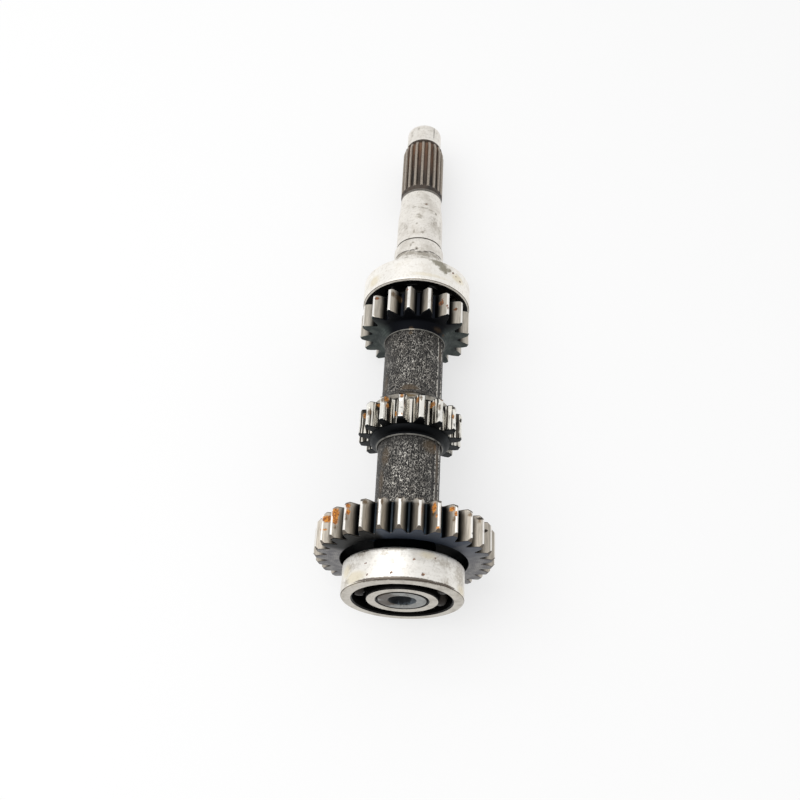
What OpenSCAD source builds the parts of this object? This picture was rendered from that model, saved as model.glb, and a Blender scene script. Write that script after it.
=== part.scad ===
// Output shaft of a gearbox: one forging with three spur gears, a spline and two ball bearings.
// It lies on the teeth of its big gear and on the outer ring of its far bearing.
// Lengths are in millimetres. A station is a distance along the shaft from its near end.

/* [Near end] */
// Diameter of the seat for the near bearing
near_seat_d = 25; // [22:0.5:27]
// Chamfer on the near end of the shaft
near_end_chamfer = 0.2; // [0.1:0.1:0.6]
// Diameter of the mouth of the near centre hole
near_centre_d = 14.6; // [6:0.2:16]
// Diameter of the drilled bottom of the near centre hole
near_drill_d = 5; // [3:0.5:5.5]
// Depth of the drilled bottom of the near centre hole
near_drill_depth = 17; // [14:0.5:30]
// Diameter of the shoulder that the near bearing rests against
near_shoulder_d = 32; // [29:0.5:34]

/* [Big gear] */
// Number of teeth on the big gear
big_teeth = 30; // [26:2:34]
// Module of the big gear
big_module = 2.75; // [2.6:0.05:2.8]
// Diameter over the tooth tips of the big gear
big_tip_d = 92.6; // [91:0.2:94]
// Depth of the teeth of the big gear
big_tooth_h = 7; // [6:0.1:7.5]
// Width of a tooth tip on the big gear
big_land = 1.1; // [0.8:0.1:1.4]
// Station of the near face of the big gear
big_start = 20.2; // [19.6:0.2:22]
// Width of the big gear
big_w = 16.8; // [14:0.2:20]
// Bevel on the tooth ends of the big gear
big_bevel = 1.5; // [0.4:0.1:2]
// Diameter of the recess in the near face of the big gear
recess_d = 65.4; // [50:0.2:72]
// Depth of the recess in the near face of the big gear
recess_depth = 9; // [6:0.5:10]
// Radius in the outer corner of the recess floor
recess_fillet = 3.5; // [1:0.5:5]
// Radius between the far face of the big gear and the tube
web_fillet = 4; // [1:0.5:6]

/* [Tubes] */
// Diameter of the forged tube beside the big gear
low_tube_d = 33.8; // [33:0.2:35]
// Diameter of the forged tube where it meets the middle collar
low_tube_end_d = 34; // [30:0.2:35]
// Diameter of the forged tube between the middle and the small gear
up_tube_d = 33.2; // [30:0.2:33.6]
// Width of the trimmed parting line along each tube
flash_w = 4.5; // [2:0.5:7]
// Height of the trimmed parting line over the tube
flash_h = 0.4; // [0.2:0.05:0.7]
// Angle of the parting line from the top of the shaft, towards +X
flash_angle = 62; // [0:1:180]

/* [Middle gear] */
// Number of teeth on the middle gear
mid_teeth = 16; // [15:1:17]
// Module of the middle gear
mid_module = 3.15; // [3:0.05:3.3]
// Diameter over the tooth tips of the middle gear
mid_tip_d = 56.6; // [55:0.2:58]
// Depth of the teeth of the middle gear
mid_tooth_h = 6.1; // [5.6:0.1:6.8]
// Width of a tooth tip on the middle gear
mid_land = 2.4; // [1.8:0.1:2.8]
// Station of the near face of the middle gear
mid_start = 88.7; // [84:0.5:96]
// Width of the middle gear
mid_w = 15.1; // [12:0.5:20]
// Bevel on the tooth ends of the middle gear
mid_bevel = 0.7; // [0.3:0.1:1.5]
// Turn of the middle gear, from a tooth at the top towards +X
mid_turn = -13.3; // [-22:0.1:22]
// Diameter of the near collar where it meets the middle gear
mid_collar_d = 43.4; // [40:0.2:44]
// Diameter of the near collar at the start of its lip
mid_lip_d = 37; // [35.6:0.2:39]
// Length of the near collar between the middle gear and its lip
mid_collar_l = 2.9; // [2:0.1:5]
// Length of the sloped lip of the near collar
mid_lip_l = 1.6; // [0.6:0.1:2.5]
// Diameter of the far collar of the middle gear
mid_far_collar_d = 44; // [38:0.2:44]
// Length of the far collar of the middle gear
mid_far_collar_l = 3.2; // [1:0.1:5]

/* [Small gear] */
// Number of teeth on the gear beside the far bearing
far_teeth = 17; // [16:1:18]
// Module of the gear beside the far bearing
far_module = 3.15; // [3.1:0.05:3.2]
// Diameter over the tooth tips of the gear beside the far bearing
far_tip_d = 63; // [62:0.2:63.6]
// Depth of the teeth of the gear beside the far bearing
far_tooth_h = 7; // [6:0.1:7.4]
// Width of a tooth tip on the gear beside the far bearing
far_land = 1.2; // [0.8:0.1:1.6]
// Station of the near face of the gear beside the far bearing
far_start = 155; // [150:0.5:160]
// Width of the gear beside the far bearing
far_w = 15.7; // [12:0.1:18]
// Bevel on the tooth ends of the gear beside the far bearing
far_bevel = 0.6; // [0.3:0.1:1.2]
// Turn of the gear beside the far bearing, from a tooth at the top towards +X
far_turn = -10; // [-22:0.1:22]
// Diameter of the collar where it meets the gear beside the far bearing
far_collar_d = 40.4; // [37:0.2:44]
// Diameter of the collar where it meets the tube
far_lip_d = 34.2; // [33.8:0.1:36]
// Length of the collar in front of the gear beside the far bearing
far_collar_l = 4.4; // [2:0.1:7]
// Length of the shoulder between that gear and the far bearing
far_shoulder_l = 4.1; // [2:0.1:7]
// Diameter of the shoulder between that gear and the far bearing
far_shoulder_d = 38; // [35:0.5:40]

/* [Output end] */
// Diameter of the seat for the far bearing
far_seat_d = 30; // [28:0.1:31]
// Length of the seat that stands out past the far bearing
seat_overhang = 25; // [10:0.5:40]
// Diameter of the seat that stands out past the far bearing
overhang_d = 29.4; // [27.8:0.1:29.6]
// Length of the cone between the seat and the journal
seat_cone_l = 2.2; // [1:0.1:4]
// Width of the thin groove at the foot of that cone
ring_groove_w = 0.8; // [0.4:0.1:1.5]
// Depth of the thin groove
ring_groove_h = 0.5; // [0.2:0.1:1]
// Diameter of the seal journal
journal_d = 27.3; // [26:0.1:29]
// Length of the seal journal
journal_l = 28; // [16:0.5:40]
// Length of the cone between the journal and the neck
journal_cone_l = 4; // [2:0.1:6]
// Diameter of the neck before the spline
neck_d = 25; // [23.4:0.1:25.6]
// Length of the neck, with the runout of the spline
neck_l = 11.5; // [6:0.5:16]

/* [Spline] */
// Number of spline teeth
spline_teeth = 19; // [17:1:21]
// Diameter over the spline teeth
spline_d = 25.7; // [24.6:0.1:26.2]
// Depth of the spline grooves
spline_h = 1.7; // [1.2:0.1:2]
// Share of the pitch that a spline tooth fills at its tip
spline_land = 0.42; // [0.3:0.02:0.5]
// Share of the pitch that a spline tooth fills at its root
spline_root = 0.6; // [0.5:0.02:0.7]
// Length of the spline
spline_l = 38; // [25:0.5:50]
// Length over which the grooves run out at the near end
spline_runout = 5; // [2:0.5:8]
// Length of the lead cone at the far end of the spline
spline_lead = 6; // [2:0.5:10]
// Turn of the spline, from a tooth at the top towards +X
spline_turn = -4.5; // [-20:0.1:20]
// Diameter of the pilot beyond the spline
pilot_d = 21.4; // [18:0.1:22]
// Length of the pilot
pilot_l = 14.5; // [6:0.5:20]
// Radius on the end of the pilot
pilot_round = 2.6; // [0.5:0.1:4]
// Diameter of the mouth of the far centre hole
far_centre_d = 7; // [4:0.2:10]

/* [Bearings] */
// Outer diameter of both bearings
bearing_od = 62; // [60:1:62]
// Width of the near bearing
near_bearing_w = 17; // [16:0.5:18]
// Width of the far bearing
far_bearing_w = 16; // [15:0.5:17]
// Radius on the corners of the bearing rings
ring_corner = 1.4; // [0.6:0.1:1.6]
// Radius on the bore corners of the near bearing
bore_corner = 1.8; // [0.8:0.1:2]
// Share of the height between seat and outside that a ball of the near bearing fills
near_ball_share = 0.62; // [0.57:0.01:0.63]
// Number of balls in the near bearing
near_ball_count = 7; // [6:1:7]
// Share of the height between seat and outside that a ball of the far bearing fills
far_ball_share = 0.59; // [0.57:0.01:0.61]
// Number of balls in the far bearing
far_ball_count = 9; // [8:1:9]
// Share of a ball's diameter that the open gap between the near rings leaves to see
near_gap_share = 0.6; // [0.56:0.01:0.7]
// Share of a ball's diameter that the open gap between the far rings leaves to see
far_gap_share = 0.73; // [0.68:0.01:0.76]
// Play between a ball and the bottom of a race
ball_play = 0.06; // [0.03:0.01:0.1]
// Radial clearance between a seat and the ring on it
seat_gap = 0.01; // [0:0.005:0.02]
// Thickness of the cage strip
cage_t = 0.9; // [0.6:0.1:1]
// Share of the gap between the rings that the cage strip fills
cage_share = 0.61; // [0.5:0.01:0.7]
// Clearance between a ball and its cage pocket
pocket_gap = 0.15; // [0.08:0.01:0.25]
// Diameter of a cage rivet
rivet_d = 1.5; // [1.1:0.1:1.7]
// Diameter of a cage rivet's head
rivet_head_d = 2.7; // [2.2:0.1:3]
// Height of a cage rivet's head
rivet_head_h = 0.7; // [0.4:0.1:0.9]
// Turn of the near balls, from a ball at the top towards +X
near_ball_turn = 12; // [0:1:50]
// Turn of the far balls, from a ball at the top towards +X
far_ball_turn = 7; // [0:1:39]

/* [Smoothness] */
// Facets around the shaft and the bearing rings
round_facets = 160; // [72:8:240]
// Facets around a ball, a fillet or a rivet
small_facets = 40; // [24:4:64]
// Steps on each tooth flank
flank_steps = 7; // [4:1:10]
// Steps around each rounded corner of a section
arc_steps = 6; // [3:1:12]

/* [Hidden] */

// Pressure angle of the three gears
pressure_angle = 20;
// Half angles of a centre hole's cone and of a drill's point
centre_half_angle = 30;
drill_half_angle = 59;
// Overlap that joins one solid to the next
over = 0.5;
// Clearance of a rivet in its hole
rivet_gap = 0.05;
// Radius of a race's groove over the radius of its balls
race_ratio = 1.04;
// Rise of the spline's lead cone over the groove bottoms at its small end
lead_rise = 0.15;

// Stations along the shaft
big_end = big_start + big_w;
recess_floor = big_start + recess_depth;
mid_end = mid_start + mid_w;
mid_collar_start = mid_start - mid_collar_l;
mid_lip_start = mid_collar_start - mid_lip_l;
mid_far_collar_end = mid_end + mid_far_collar_l;
up_tube_start = mid_far_collar_end + (mid_far_collar_d - up_tube_d) / 2;
far_end = far_start + far_w;
far_collar_start = far_start - far_collar_l;
far_bearing_start = far_end + far_shoulder_l;
far_bearing_end = far_bearing_start + far_bearing_w;
seat_end = far_bearing_end + seat_overhang;
journal_start = seat_end + seat_cone_l;
journal_end = journal_start + journal_l;
neck_start = journal_end + journal_cone_l;
spline_start = neck_start + neck_l;
spline_end = spline_start + spline_l;
shaft_end = spline_end + pilot_l;

// Radii that the section and the cuts share
spline_root_r = spline_d / 2 - spline_h;
near_cone_depth = (near_centre_d - near_drill_d) / 2 / tan(centre_half_angle);
near_drill_tip = near_drill_depth + near_drill_d / 2 / tan(drill_half_angle);
far_cone_depth = far_centre_d / 2 / tan(centre_half_angle);
near_pitch_r = (near_seat_d + bearing_od) / 4;
far_pitch_r = (far_seat_d + bearing_od) / 4;
near_ball_d = near_ball_share * (bearing_od - near_seat_d) / 2;
far_ball_d = far_ball_share * (bearing_od - far_seat_d) / 2;
near_gap = near_gap_share * near_ball_d;
far_gap = far_gap_share * far_ball_d;

// Rest: two teeth of the big gear and the far ring's rounded edge touch the floor, and the shaft
// leans between them
big_rest_turn = 180 / big_teeth;
tip_half_angle = big_land / big_tip_d * 180 / PI;
big_rest_r = big_tip_d / 2 * cos(big_rest_turn - tip_half_angle);
big_rest_station = big_end - big_bevel;
corner_r = bearing_od / 2 - ring_corner;
corner_station = far_bearing_end - ring_corner;
rest_span = corner_station - big_rest_station;
rough_lean = atan((big_rest_r - bearing_od / 2) / rest_span);
lean = atan((big_rest_r - corner_r - ring_corner / cos(rough_lean)) / rest_span);

// Height of the axis at the near end, and how far back the near end lies, with the origin on the
// floor under the middle of the part
axis_rise = corner_station * sin(lean) + corner_r * cos(lean) + ring_corner;
near_reach = corner_r * sin(lean) + ring_corner - ring_corner * cos(lean);
far_reach = (shaft_end - pilot_round) * cos(lean) + (pilot_d / 2 - pilot_round) * sin(lean) + pilot_round;
axis_back = (near_reach - far_reach) / 2;

// Lays a piece that is drawn along +Z from the near end onto the leaning shaft axis
module on_axis() {
    translate([0, axis_back, axis_rise])
        rotate([-90 - lean, 0, 0])
            children();
}

// Turns a piece from its own +X to an angle from the top of the shaft, towards +X
module turned(angle) {
    rotate([0, 0, angle - 90])
        children();
}

// Copies a piece around the axis
module around(count, turn) {
    for (k = [0 : count - 1])
        turned(turn + k * 360 / count)
            children();
}

// Points on an arc
function arc(centre, r, from, to) = [
    for (i = [0 : arc_steps])
        let (a = from + (to - from) * i / arc_steps)
        centre + r * [cos(a), sin(a)]
];

// Involute of a pressure angle, in degrees
function involute(a) = tan(a) * 180 / PI - a;

// Pressure angle at a radius, and zero below the base circle
function pressure_at(r, base_r) = r <= base_r ? 0 : acos(base_r / r);

// Half the angle that a tooth fills at a radius
function half_tooth(r, tip_r, base_r, land) =
    land / tip_r * 90 / PI + involute(pressure_at(tip_r, base_r)) - involute(pressure_at(r, base_r));

// Outline points of one tooth, up its first flank and down its second
function tooth(tip_r, root_r, base_r, land, middle) = [
    for (side = [-1, 1])
        for (i = [0 : flank_steps])
            let (share = side < 0 ? i / flank_steps : 1 - i / flank_steps)
            let (r = root_r + (tip_r - root_r) * share)
            let (a = middle + side * half_tooth(r, tip_r, base_r, land))
            [r * cos(a), r * sin(a)]
];

// Outline of a spur gear with its first tooth on +X
module gear_outline(teeth, size, tip_d, tooth_h, land) {
    base_r = size * teeth / 2 * cos(pressure_angle);
    polygon([
        for (k = [0 : teeth - 1])
            each tooth(tip_d / 2, tip_d / 2 - tooth_h, base_r, land, k * 360 / teeth)
    ]);
}

// Half section of a gear blank with bevelled tips, around a given inner edge from far to near end
module gear_blank(tip_d, start, width, bevel, inner_edge) {
    polygon(concat([
        [tip_d / 2 - bevel, start],
        [tip_d / 2 + over, start + bevel + over],
        [tip_d / 2 + over, start + width - bevel - over],
        [tip_d / 2 - bevel, start + width]
    ], inner_edge));
}

// Inner edge of a gear that is solid to the axis
function solid_to_axis(start, width) = [[0, start + width], [0, start]];

// Spur gear of a given outline module (child 0) and blank (child 1)
module gear(start, width, turn) {
    intersection() {
        translate([0, 0, start])
            turned(turn)
                linear_extrude(width)
                    children(0);
        rotate_extrude($fn = round_facets)
            children(1);
    }
}

module big_gear() {
    gear(big_start, big_w, big_rest_turn) {
        gear_outline(big_teeth, big_module, big_tip_d, big_tooth_h, big_land);
        gear_blank(big_tip_d, big_start, big_w, big_bevel, concat(
            [[0, big_end], [0, recess_floor]],
            arc([recess_d / 2 - recess_fillet, recess_floor - recess_fillet], recess_fillet, 90, 0),
            [[recess_d / 2, big_start]]
        ));
    }
}

module middle_gear() {
    gear(mid_start, mid_w, mid_turn) {
        gear_outline(mid_teeth, mid_module, mid_tip_d, mid_tooth_h, mid_land);
        gear_blank(mid_tip_d, mid_start, mid_w, mid_bevel, solid_to_axis(mid_start, mid_w));
    }
}

module far_gear() {
    gear(far_start, far_w, far_turn) {
        gear_outline(far_teeth, far_module, far_tip_d, far_tooth_h, far_land);
        gear_blank(far_tip_d, far_start, far_w, far_bevel, solid_to_axis(far_start, far_w));
    }
}

// Half section of the shaft without its gears and spline teeth, with both centre holes
module body_section() {
    polygon(concat(
        [
            [0, near_drill_tip],
            [near_drill_d / 2, near_drill_depth],
            [near_drill_d / 2, near_cone_depth],
            [near_centre_d / 2, 0],
            [near_seat_d / 2 - near_end_chamfer, 0],
            [near_seat_d / 2, near_end_chamfer],
            [near_seat_d / 2, near_bearing_w],
            [near_shoulder_d / 2, near_bearing_w],
            [near_shoulder_d / 2, recess_floor + over],
            [low_tube_d / 2 + web_fillet, recess_floor + over]
        ],
        arc([low_tube_d / 2 + web_fillet, big_end + web_fillet], web_fillet, 270, 180),
        [
            [low_tube_end_d / 2, mid_lip_start],
            [mid_lip_d / 2, mid_collar_start],
            [mid_collar_d / 2, mid_start],
            [mid_collar_d / 2, mid_end - over],
            [mid_far_collar_d / 2, mid_end - over],
            [mid_far_collar_d / 2, mid_far_collar_end],
            [up_tube_d / 2, up_tube_start],
            [up_tube_d / 2, far_collar_start],
            [far_lip_d / 2, far_collar_start],
            [far_collar_d / 2, far_start],
            [far_collar_d / 2, far_end - over],
            [far_shoulder_d / 2, far_end - over],
            [far_shoulder_d / 2, far_bearing_start],
            [far_seat_d / 2, far_bearing_start],
            [far_seat_d / 2, far_bearing_end],
            [overhang_d / 2, far_bearing_end],
            [overhang_d / 2, seat_end],
            [journal_d / 2, journal_start],
            [journal_d / 2 - ring_groove_h, journal_start],
            [journal_d / 2 - ring_groove_h, journal_start + ring_groove_w],
            [journal_d / 2, journal_start + ring_groove_w],
            [journal_d / 2, journal_end],
            [neck_d / 2, neck_start],
            [neck_d / 2, spline_start],
            [spline_root_r - over, spline_start + spline_runout],
            [spline_root_r - over, spline_end - over],
            [pilot_d / 2, spline_end - over]
        ],
        arc([pilot_d / 2 - pilot_round, shaft_end - pilot_round], pilot_round, 0, 90),
        [
            [far_centre_d / 2, shaft_end],
            [0, shaft_end - far_cone_depth]
        ]
    ));
}

// Outline of the spline: straight-sided teeth on the groove circle
module spline_outline() {
    pitch = 360 / spline_teeth;
    polygon([
        for (k = [0 : spline_teeth - 1])
            for (corner = [[-spline_root, 0], [-spline_land, 1], [spline_land, 1], [spline_root, 0]])
                let (r = spline_root_r + spline_h * corner[1])
                let (a = k * pitch + corner[0] * pitch / 2)
                [r * cos(a), r * sin(a)]
    ]);
}

module spline() {
    intersection() {
        translate([0, 0, spline_start])
            turned(spline_turn)
                linear_extrude(spline_l)
                    spline_outline();
        rotate_extrude($fn = round_facets)
            polygon([
                [0, spline_start],
                [spline_d / 2, spline_start],
                [spline_d / 2, spline_end - spline_lead],
                [spline_root_r + lead_rise, spline_end],
                [0, spline_end]
            ]);
    }
}

// One ridge of the forging's parting line, between two stations of a tube
module flash_ridge(tube_d, from, to, angle) {
    turned(angle)
        translate([tube_d / 2 - over, -flash_w / 2, from])
            cube([over + flash_h, flash_w, to - from]);
}

module parting_line() {
    for (angle = [flash_angle, flash_angle + 180]) {
        flash_ridge(low_tube_d, big_end + over, mid_lip_start + over, angle);
        flash_ridge(up_tube_d, mid_far_collar_end + over, far_collar_start + over, angle);
    }
}

module shaft() {
    color("dimgray")
        on_axis()
            union() {
                rotate_extrude($fn = round_facets)
                    body_section();
                big_gear();
                middle_gear();
                far_gear();
                spline();
                parting_line();
            }
}

// Radius of the race groove for a ball
function groove_r(ball_d) = ball_d / 2 * race_ratio;

// Half section of an inner ring, with its near face at the bottom
module inner_section(bore_d, width, ball_d, gap, pitch_r, corner) {
    in_r = bore_d / 2 + seat_gap;
    out_r = pitch_r - gap / 2;
    difference() {
        polygon(concat(
            arc([in_r + corner, width - corner], corner, 90, 180),
            arc([in_r + corner, corner], corner, 180, 270),
            [[out_r, 0], [out_r, width]]
        ));
        translate([pitch_r - ball_d / 2 - ball_play + groove_r(ball_d), width / 2])
            circle(groove_r(ball_d), $fn = small_facets);
    }
}

// Half section of an outer ring, with its near face at the bottom
module outer_section(width, ball_d, gap, pitch_r) {
    in_r = pitch_r + gap / 2;
    difference() {
        polygon(concat(
            [[in_r, width], [in_r, 0]],
            arc([corner_r, ring_corner], ring_corner, 270, 360),
            arc([corner_r, width - ring_corner], ring_corner, 0, 90)
        ));
        translate([pitch_r + ball_d / 2 + ball_play - groove_r(ball_d), width / 2])
            circle(groove_r(ball_d), $fn = small_facets);
    }
}

// Spheres of a given radius on the pitch circle, at height 0
module sphere_ring(r, pitch_r, count, turn) {
    around(count, turn)
        translate([pitch_r, 0, 0])
            sphere(r, $fn = small_facets);
}

// Rods of a given radius and height midway between the balls
module rod_ring(r, low, high, pitch_r, count, turn) {
    around(count, turn + 180 / count)
        translate([pitch_r, 0, low])
            cylinder(h = high - low, r = r, $fn = small_facets);
}

// Half of a pressed cage that bulges over the balls towards +Z from the middle plane
module cage_half(ball_d, gap, pitch_r, count, turn) {
    pocket_r = ball_d / 2 + pocket_gap;
    cage_w = cage_share * gap;
    difference() {
        intersection() {
            rotate_extrude($fn = round_facets)
                translate([pitch_r - cage_w / 2, 0])
                    square([cage_w, pocket_r + cage_t + over]);
            union() {
                sphere_ring(pocket_r + cage_t, pitch_r, count, turn);
                cylinder(h = cage_t, r = pitch_r + cage_w, $fn = round_facets);
            }
        }
        sphere_ring(pocket_r, pitch_r, count, turn);
        rod_ring(rivet_d / 2 + rivet_gap, -over, cage_t + over, pitch_r, count, turn);
    }
}

// Rivets through both halves of a cage, with a head on each side
module rivet_set(pitch_r, count, turn) {
    rod_ring(rivet_d / 2, -cage_t - over / 2, cage_t + over / 2, pitch_r, count, turn);
    rod_ring(rivet_head_d / 2, cage_t, cage_t + rivet_head_h, pitch_r, count, turn);
    rod_ring(rivet_head_d / 2, -cage_t - rivet_head_h, -cage_t, pitch_r, count, turn);
}

// Places a piece with its middle plane in the middle of the near or the far bearing
module in_near_bearing() {
    on_axis()
        translate([0, 0, near_bearing_w / 2])
            children();
}

module in_far_bearing() {
    on_axis()
        translate([0, 0, far_bearing_start + far_bearing_w / 2])
            children();
}

module near_inner_ring() {
    color("silver")
        on_axis()
            rotate_extrude($fn = round_facets)
                inner_section(near_seat_d, near_bearing_w, near_ball_d, near_gap, near_pitch_r, bore_corner);
}

module near_outer_ring() {
    color("gainsboro")
        on_axis()
            rotate_extrude($fn = round_facets)
                outer_section(near_bearing_w, near_ball_d, near_gap, near_pitch_r);
}

module near_balls() {
    color("whitesmoke")
        in_near_bearing()
            sphere_ring(near_ball_d / 2, near_pitch_r, near_ball_count, near_ball_turn);
}

module near_cage_front() {
    color("darkgray")
        in_near_bearing()
            mirror([0, 0, 1])
                cage_half(near_ball_d, near_gap, near_pitch_r, near_ball_count, near_ball_turn);
}

module near_cage_back() {
    color("darkgray")
        in_near_bearing()
            cage_half(near_ball_d, near_gap, near_pitch_r, near_ball_count, near_ball_turn);
}

module near_rivets() {
    color("gray")
        in_near_bearing()
            rivet_set(near_pitch_r, near_ball_count, near_ball_turn);
}

module far_inner_ring() {
    color("silver")
        on_axis()
            translate([0, 0, far_bearing_start])
                rotate_extrude($fn = round_facets)
                    inner_section(far_seat_d, far_bearing_w, far_ball_d, far_gap, far_pitch_r, ring_corner);
}

module far_outer_ring() {
    color("gainsboro")
        on_axis()
            translate([0, 0, far_bearing_start])
                rotate_extrude($fn = round_facets)
                    outer_section(far_bearing_w, far_ball_d, far_gap, far_pitch_r);
}

module far_balls() {
    color("whitesmoke")
        in_far_bearing()
            sphere_ring(far_ball_d / 2, far_pitch_r, far_ball_count, far_ball_turn);
}

module far_cage_front() {
    color("darkgray")
        in_far_bearing()
            mirror([0, 0, 1])
                cage_half(far_ball_d, far_gap, far_pitch_r, far_ball_count, far_ball_turn);
}

module far_cage_back() {
    color("darkgray")
        in_far_bearing()
            cage_half(far_ball_d, far_gap, far_pitch_r, far_ball_count, far_ball_turn);
}

module far_rivets() {
    color("gray")
        in_far_bearing()
            rivet_set(far_pitch_r, far_ball_count, far_ball_turn);
}

shaft();
near_inner_ring();
near_outer_ring();
near_balls();
near_cage_front();
near_cage_back();
near_rivets();
far_inner_ring();
far_outer_ring();
far_balls();
far_cage_front();
far_cage_back();
far_rivets();
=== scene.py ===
# %% [markdown]
# # A gearbox output shaft with its two ball bearings
# The real part is one steel forging. The rough tubes still carry the black scale of the forge, while
# the gears, seats, spline and journal were cut or ground bright, and oil and rust have settled since.
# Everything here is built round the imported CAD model, which fixes where each piece is and how it moves.

# %% Load the frame
import math

import bpy
import numpy as np
from mathutils import Matrix, Vector


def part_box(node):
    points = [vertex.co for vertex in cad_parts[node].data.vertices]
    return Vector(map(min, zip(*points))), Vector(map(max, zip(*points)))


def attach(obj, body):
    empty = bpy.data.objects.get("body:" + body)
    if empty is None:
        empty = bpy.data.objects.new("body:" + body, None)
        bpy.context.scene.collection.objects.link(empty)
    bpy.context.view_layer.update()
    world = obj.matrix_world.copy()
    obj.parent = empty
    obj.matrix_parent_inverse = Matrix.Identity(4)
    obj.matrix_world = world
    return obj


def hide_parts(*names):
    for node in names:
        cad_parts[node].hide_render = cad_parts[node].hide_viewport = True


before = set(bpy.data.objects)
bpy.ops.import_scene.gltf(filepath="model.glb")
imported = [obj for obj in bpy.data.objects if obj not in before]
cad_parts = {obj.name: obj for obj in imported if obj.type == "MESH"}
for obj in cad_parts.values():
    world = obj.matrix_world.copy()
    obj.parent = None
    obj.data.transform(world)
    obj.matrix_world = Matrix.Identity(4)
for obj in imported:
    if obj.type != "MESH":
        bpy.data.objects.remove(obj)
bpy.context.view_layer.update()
MM = 0.001
PER_MM = 1 / MM

# %% [markdown]
# ## Where the axis runs
# A shaft is easiest to describe by two numbers: how far along it a point lies, its station, and how far
# from the axis. The two outer bearing rings are symmetric, so the middles of their boxes lie on the axis,
# and the line through them gives its direction. The shaft leans a little, because its big gear lifts the
# near end higher than the far ring does.

# %% The shaft's own coordinates
NEAR_BEARING_W = 17.0
FAR_BEARING_W = 16.0


def middle_of(cad_name):
    """The middle of a CAD node's box, in metres."""
    low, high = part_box(cad_name)
    return (np.array(low) + np.array(high)) / 2


near_middle = middle_of("near_outer_ring")
far_middle = middle_of("far_outer_ring")
bearing_span = np.linalg.norm(far_middle - near_middle)
along = (far_middle - near_middle) / bearing_span
across = np.array([1.0, 0.0, 0.0])
upward = np.cross(across, along)
near_end = near_middle - along * NEAR_BEARING_W / 2 * MM
far_bearing_start = NEAR_BEARING_W / 2 + bearing_span / MM - FAR_BEARING_W / 2
far_bearing_end = far_bearing_start + FAR_BEARING_W
lean = math.atan2(-along[2], along[1])


def place(station, radius, angle):
    """World points in metres: near end + station along the axis + radius turned by the angle from the
    top of the shaft towards +X. Stations and radii are in millimetres, angles in radians."""
    station, radius, angle = np.broadcast_arrays(
        np.asarray(station, float), np.asarray(radius, float), np.asarray(angle, float)
    )
    side = (radius * np.sin(angle))[..., None] * across
    top = (radius * np.cos(angle))[..., None] * upward
    return near_end + MM * (station[..., None] * along + side + top)


print("lean", round(math.degrees(lean), 2), "degrees, far bearing from", round(far_bearing_start, 1), "mm")

# %% [markdown]
# ## Surfaces from grids
# Each piece is one closed skin, worked out as a grid of points: columns run around the axis and rows run
# along a section. Rows that shrink to the axis end in a single point, and a section that returns to its
# start closes on itself. Numbers that say where a surface is rusty, dirty or worn, and where shade,
# glints and sheen are painted into its colour, are worked out for the same grid and stored on the mesh,
# where the materials read them.

# %% Put a grid into a mesh
SHARP_ANGLE = math.radians(38)


def add_object(name, data):
    """A new object with this data, linked to the scene."""
    made = bpy.data.objects.new(name, data)
    bpy.context.scene.collection.objects.link(made)
    return made


def skin(name, points, zones, fields, materials, ring):
    """A mesh from a (rows, columns, 3) grid in metres whose columns wrap round. With ring the rows wrap
    too, otherwise the first and last row are closed by a fan on their mean point. zones gives each row
    band its material, and fields are named (rows, columns) arrays."""
    rows, columns = points.shape[:2]
    index = np.arange(rows * columns).reshape(rows, columns)
    below = index if ring else index[:-1]
    above = np.roll(index, -1, axis=0) if ring else index[1:]
    quads = np.stack([below, np.roll(below, -1, 1), np.roll(above, -1, 1), above], -1)
    bands = np.repeat(np.asarray(zones)[: len(below)], columns)
    quads = quads.reshape(-1, 4)
    vertices = points.reshape(-1, 3)
    values = {key: np.asarray(field, float).reshape(-1) for key, field in fields.items()}
    fans = np.zeros((0, 3), int)
    if not ring:
        count = len(vertices)
        first, last = index[0], index[-1]
        vertices = np.vstack([vertices, points[0].mean(0), points[-1].mean(0)])
        start_fan = np.stack([np.full(columns, count), np.roll(first, -1), first], -1)
        end_fan = np.stack([np.full(columns, count + 1), last, np.roll(last, -1)], -1)
        fans = np.vstack([start_fan, end_fan])
        values = {k: np.append(v, [v[first].mean(), v[last].mean()]) for k, v in values.items()}
    mesh = bpy.data.meshes.new(name)
    mesh.from_pydata(vertices.tolist(), [], quads.tolist() + fans.tolist())
    for material in materials:
        mesh.materials.append(material)
    end_bands = [zones[0]] * (len(fans) // 2) + [zones[len(below) - 1]] * (len(fans) // 2)
    mesh.polygons.foreach_set("material_index", np.append(bands, end_bands).astype(np.int32))
    for key, value in values.items():
        attribute = mesh.attributes.new(key, "FLOAT", "POINT")
        attribute.data.foreach_set("value", value.astype(np.float32))
    mesh.polygons.foreach_set("use_smooth", np.ones(len(mesh.polygons), bool))
    mesh.set_sharp_from_angle(angle=SHARP_ANGLE)
    mesh.update()
    piece = add_object(name, mesh)
    corners = vertices[quads]
    volume = np.einsum("ij,ij->i", corners[:, 0], np.cross(corners[:, 1], corners[:, 2])).sum()
    volume += np.einsum("ij,ij->i", corners[:, 0], np.cross(corners[:, 2], corners[:, 3])).sum()
    if len(fans):
        tips = vertices[fans]
        volume += np.einsum("ij,ij->i", tips[:, 0], np.cross(tips[:, 1], tips[:, 2])).sum()
    print(name, "has", len(quads) * 2 + len(fans), "triangles and", round(volume / 6 / MM**3), "mm3")
    return piece


# %% [markdown]
# ## Noise that repeats each run
# Forge scale, stains and rust are irregular, but the script has to give the same part each time. A number
# for each whole-numbered cell comes from the fraction of a large sine, and nothing is drawn at random.

# %% Cell noise and smooth noise
def cell_number(i, j, seed):
    """A repeatable number from 0 to 1 for cell (i, j): the fraction of a large multiple of a sine."""
    value = np.sin(i * 12.9898 + j * 78.233 + seed * 37.719) * 43758.5453
    return value - np.floor(value)


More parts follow.
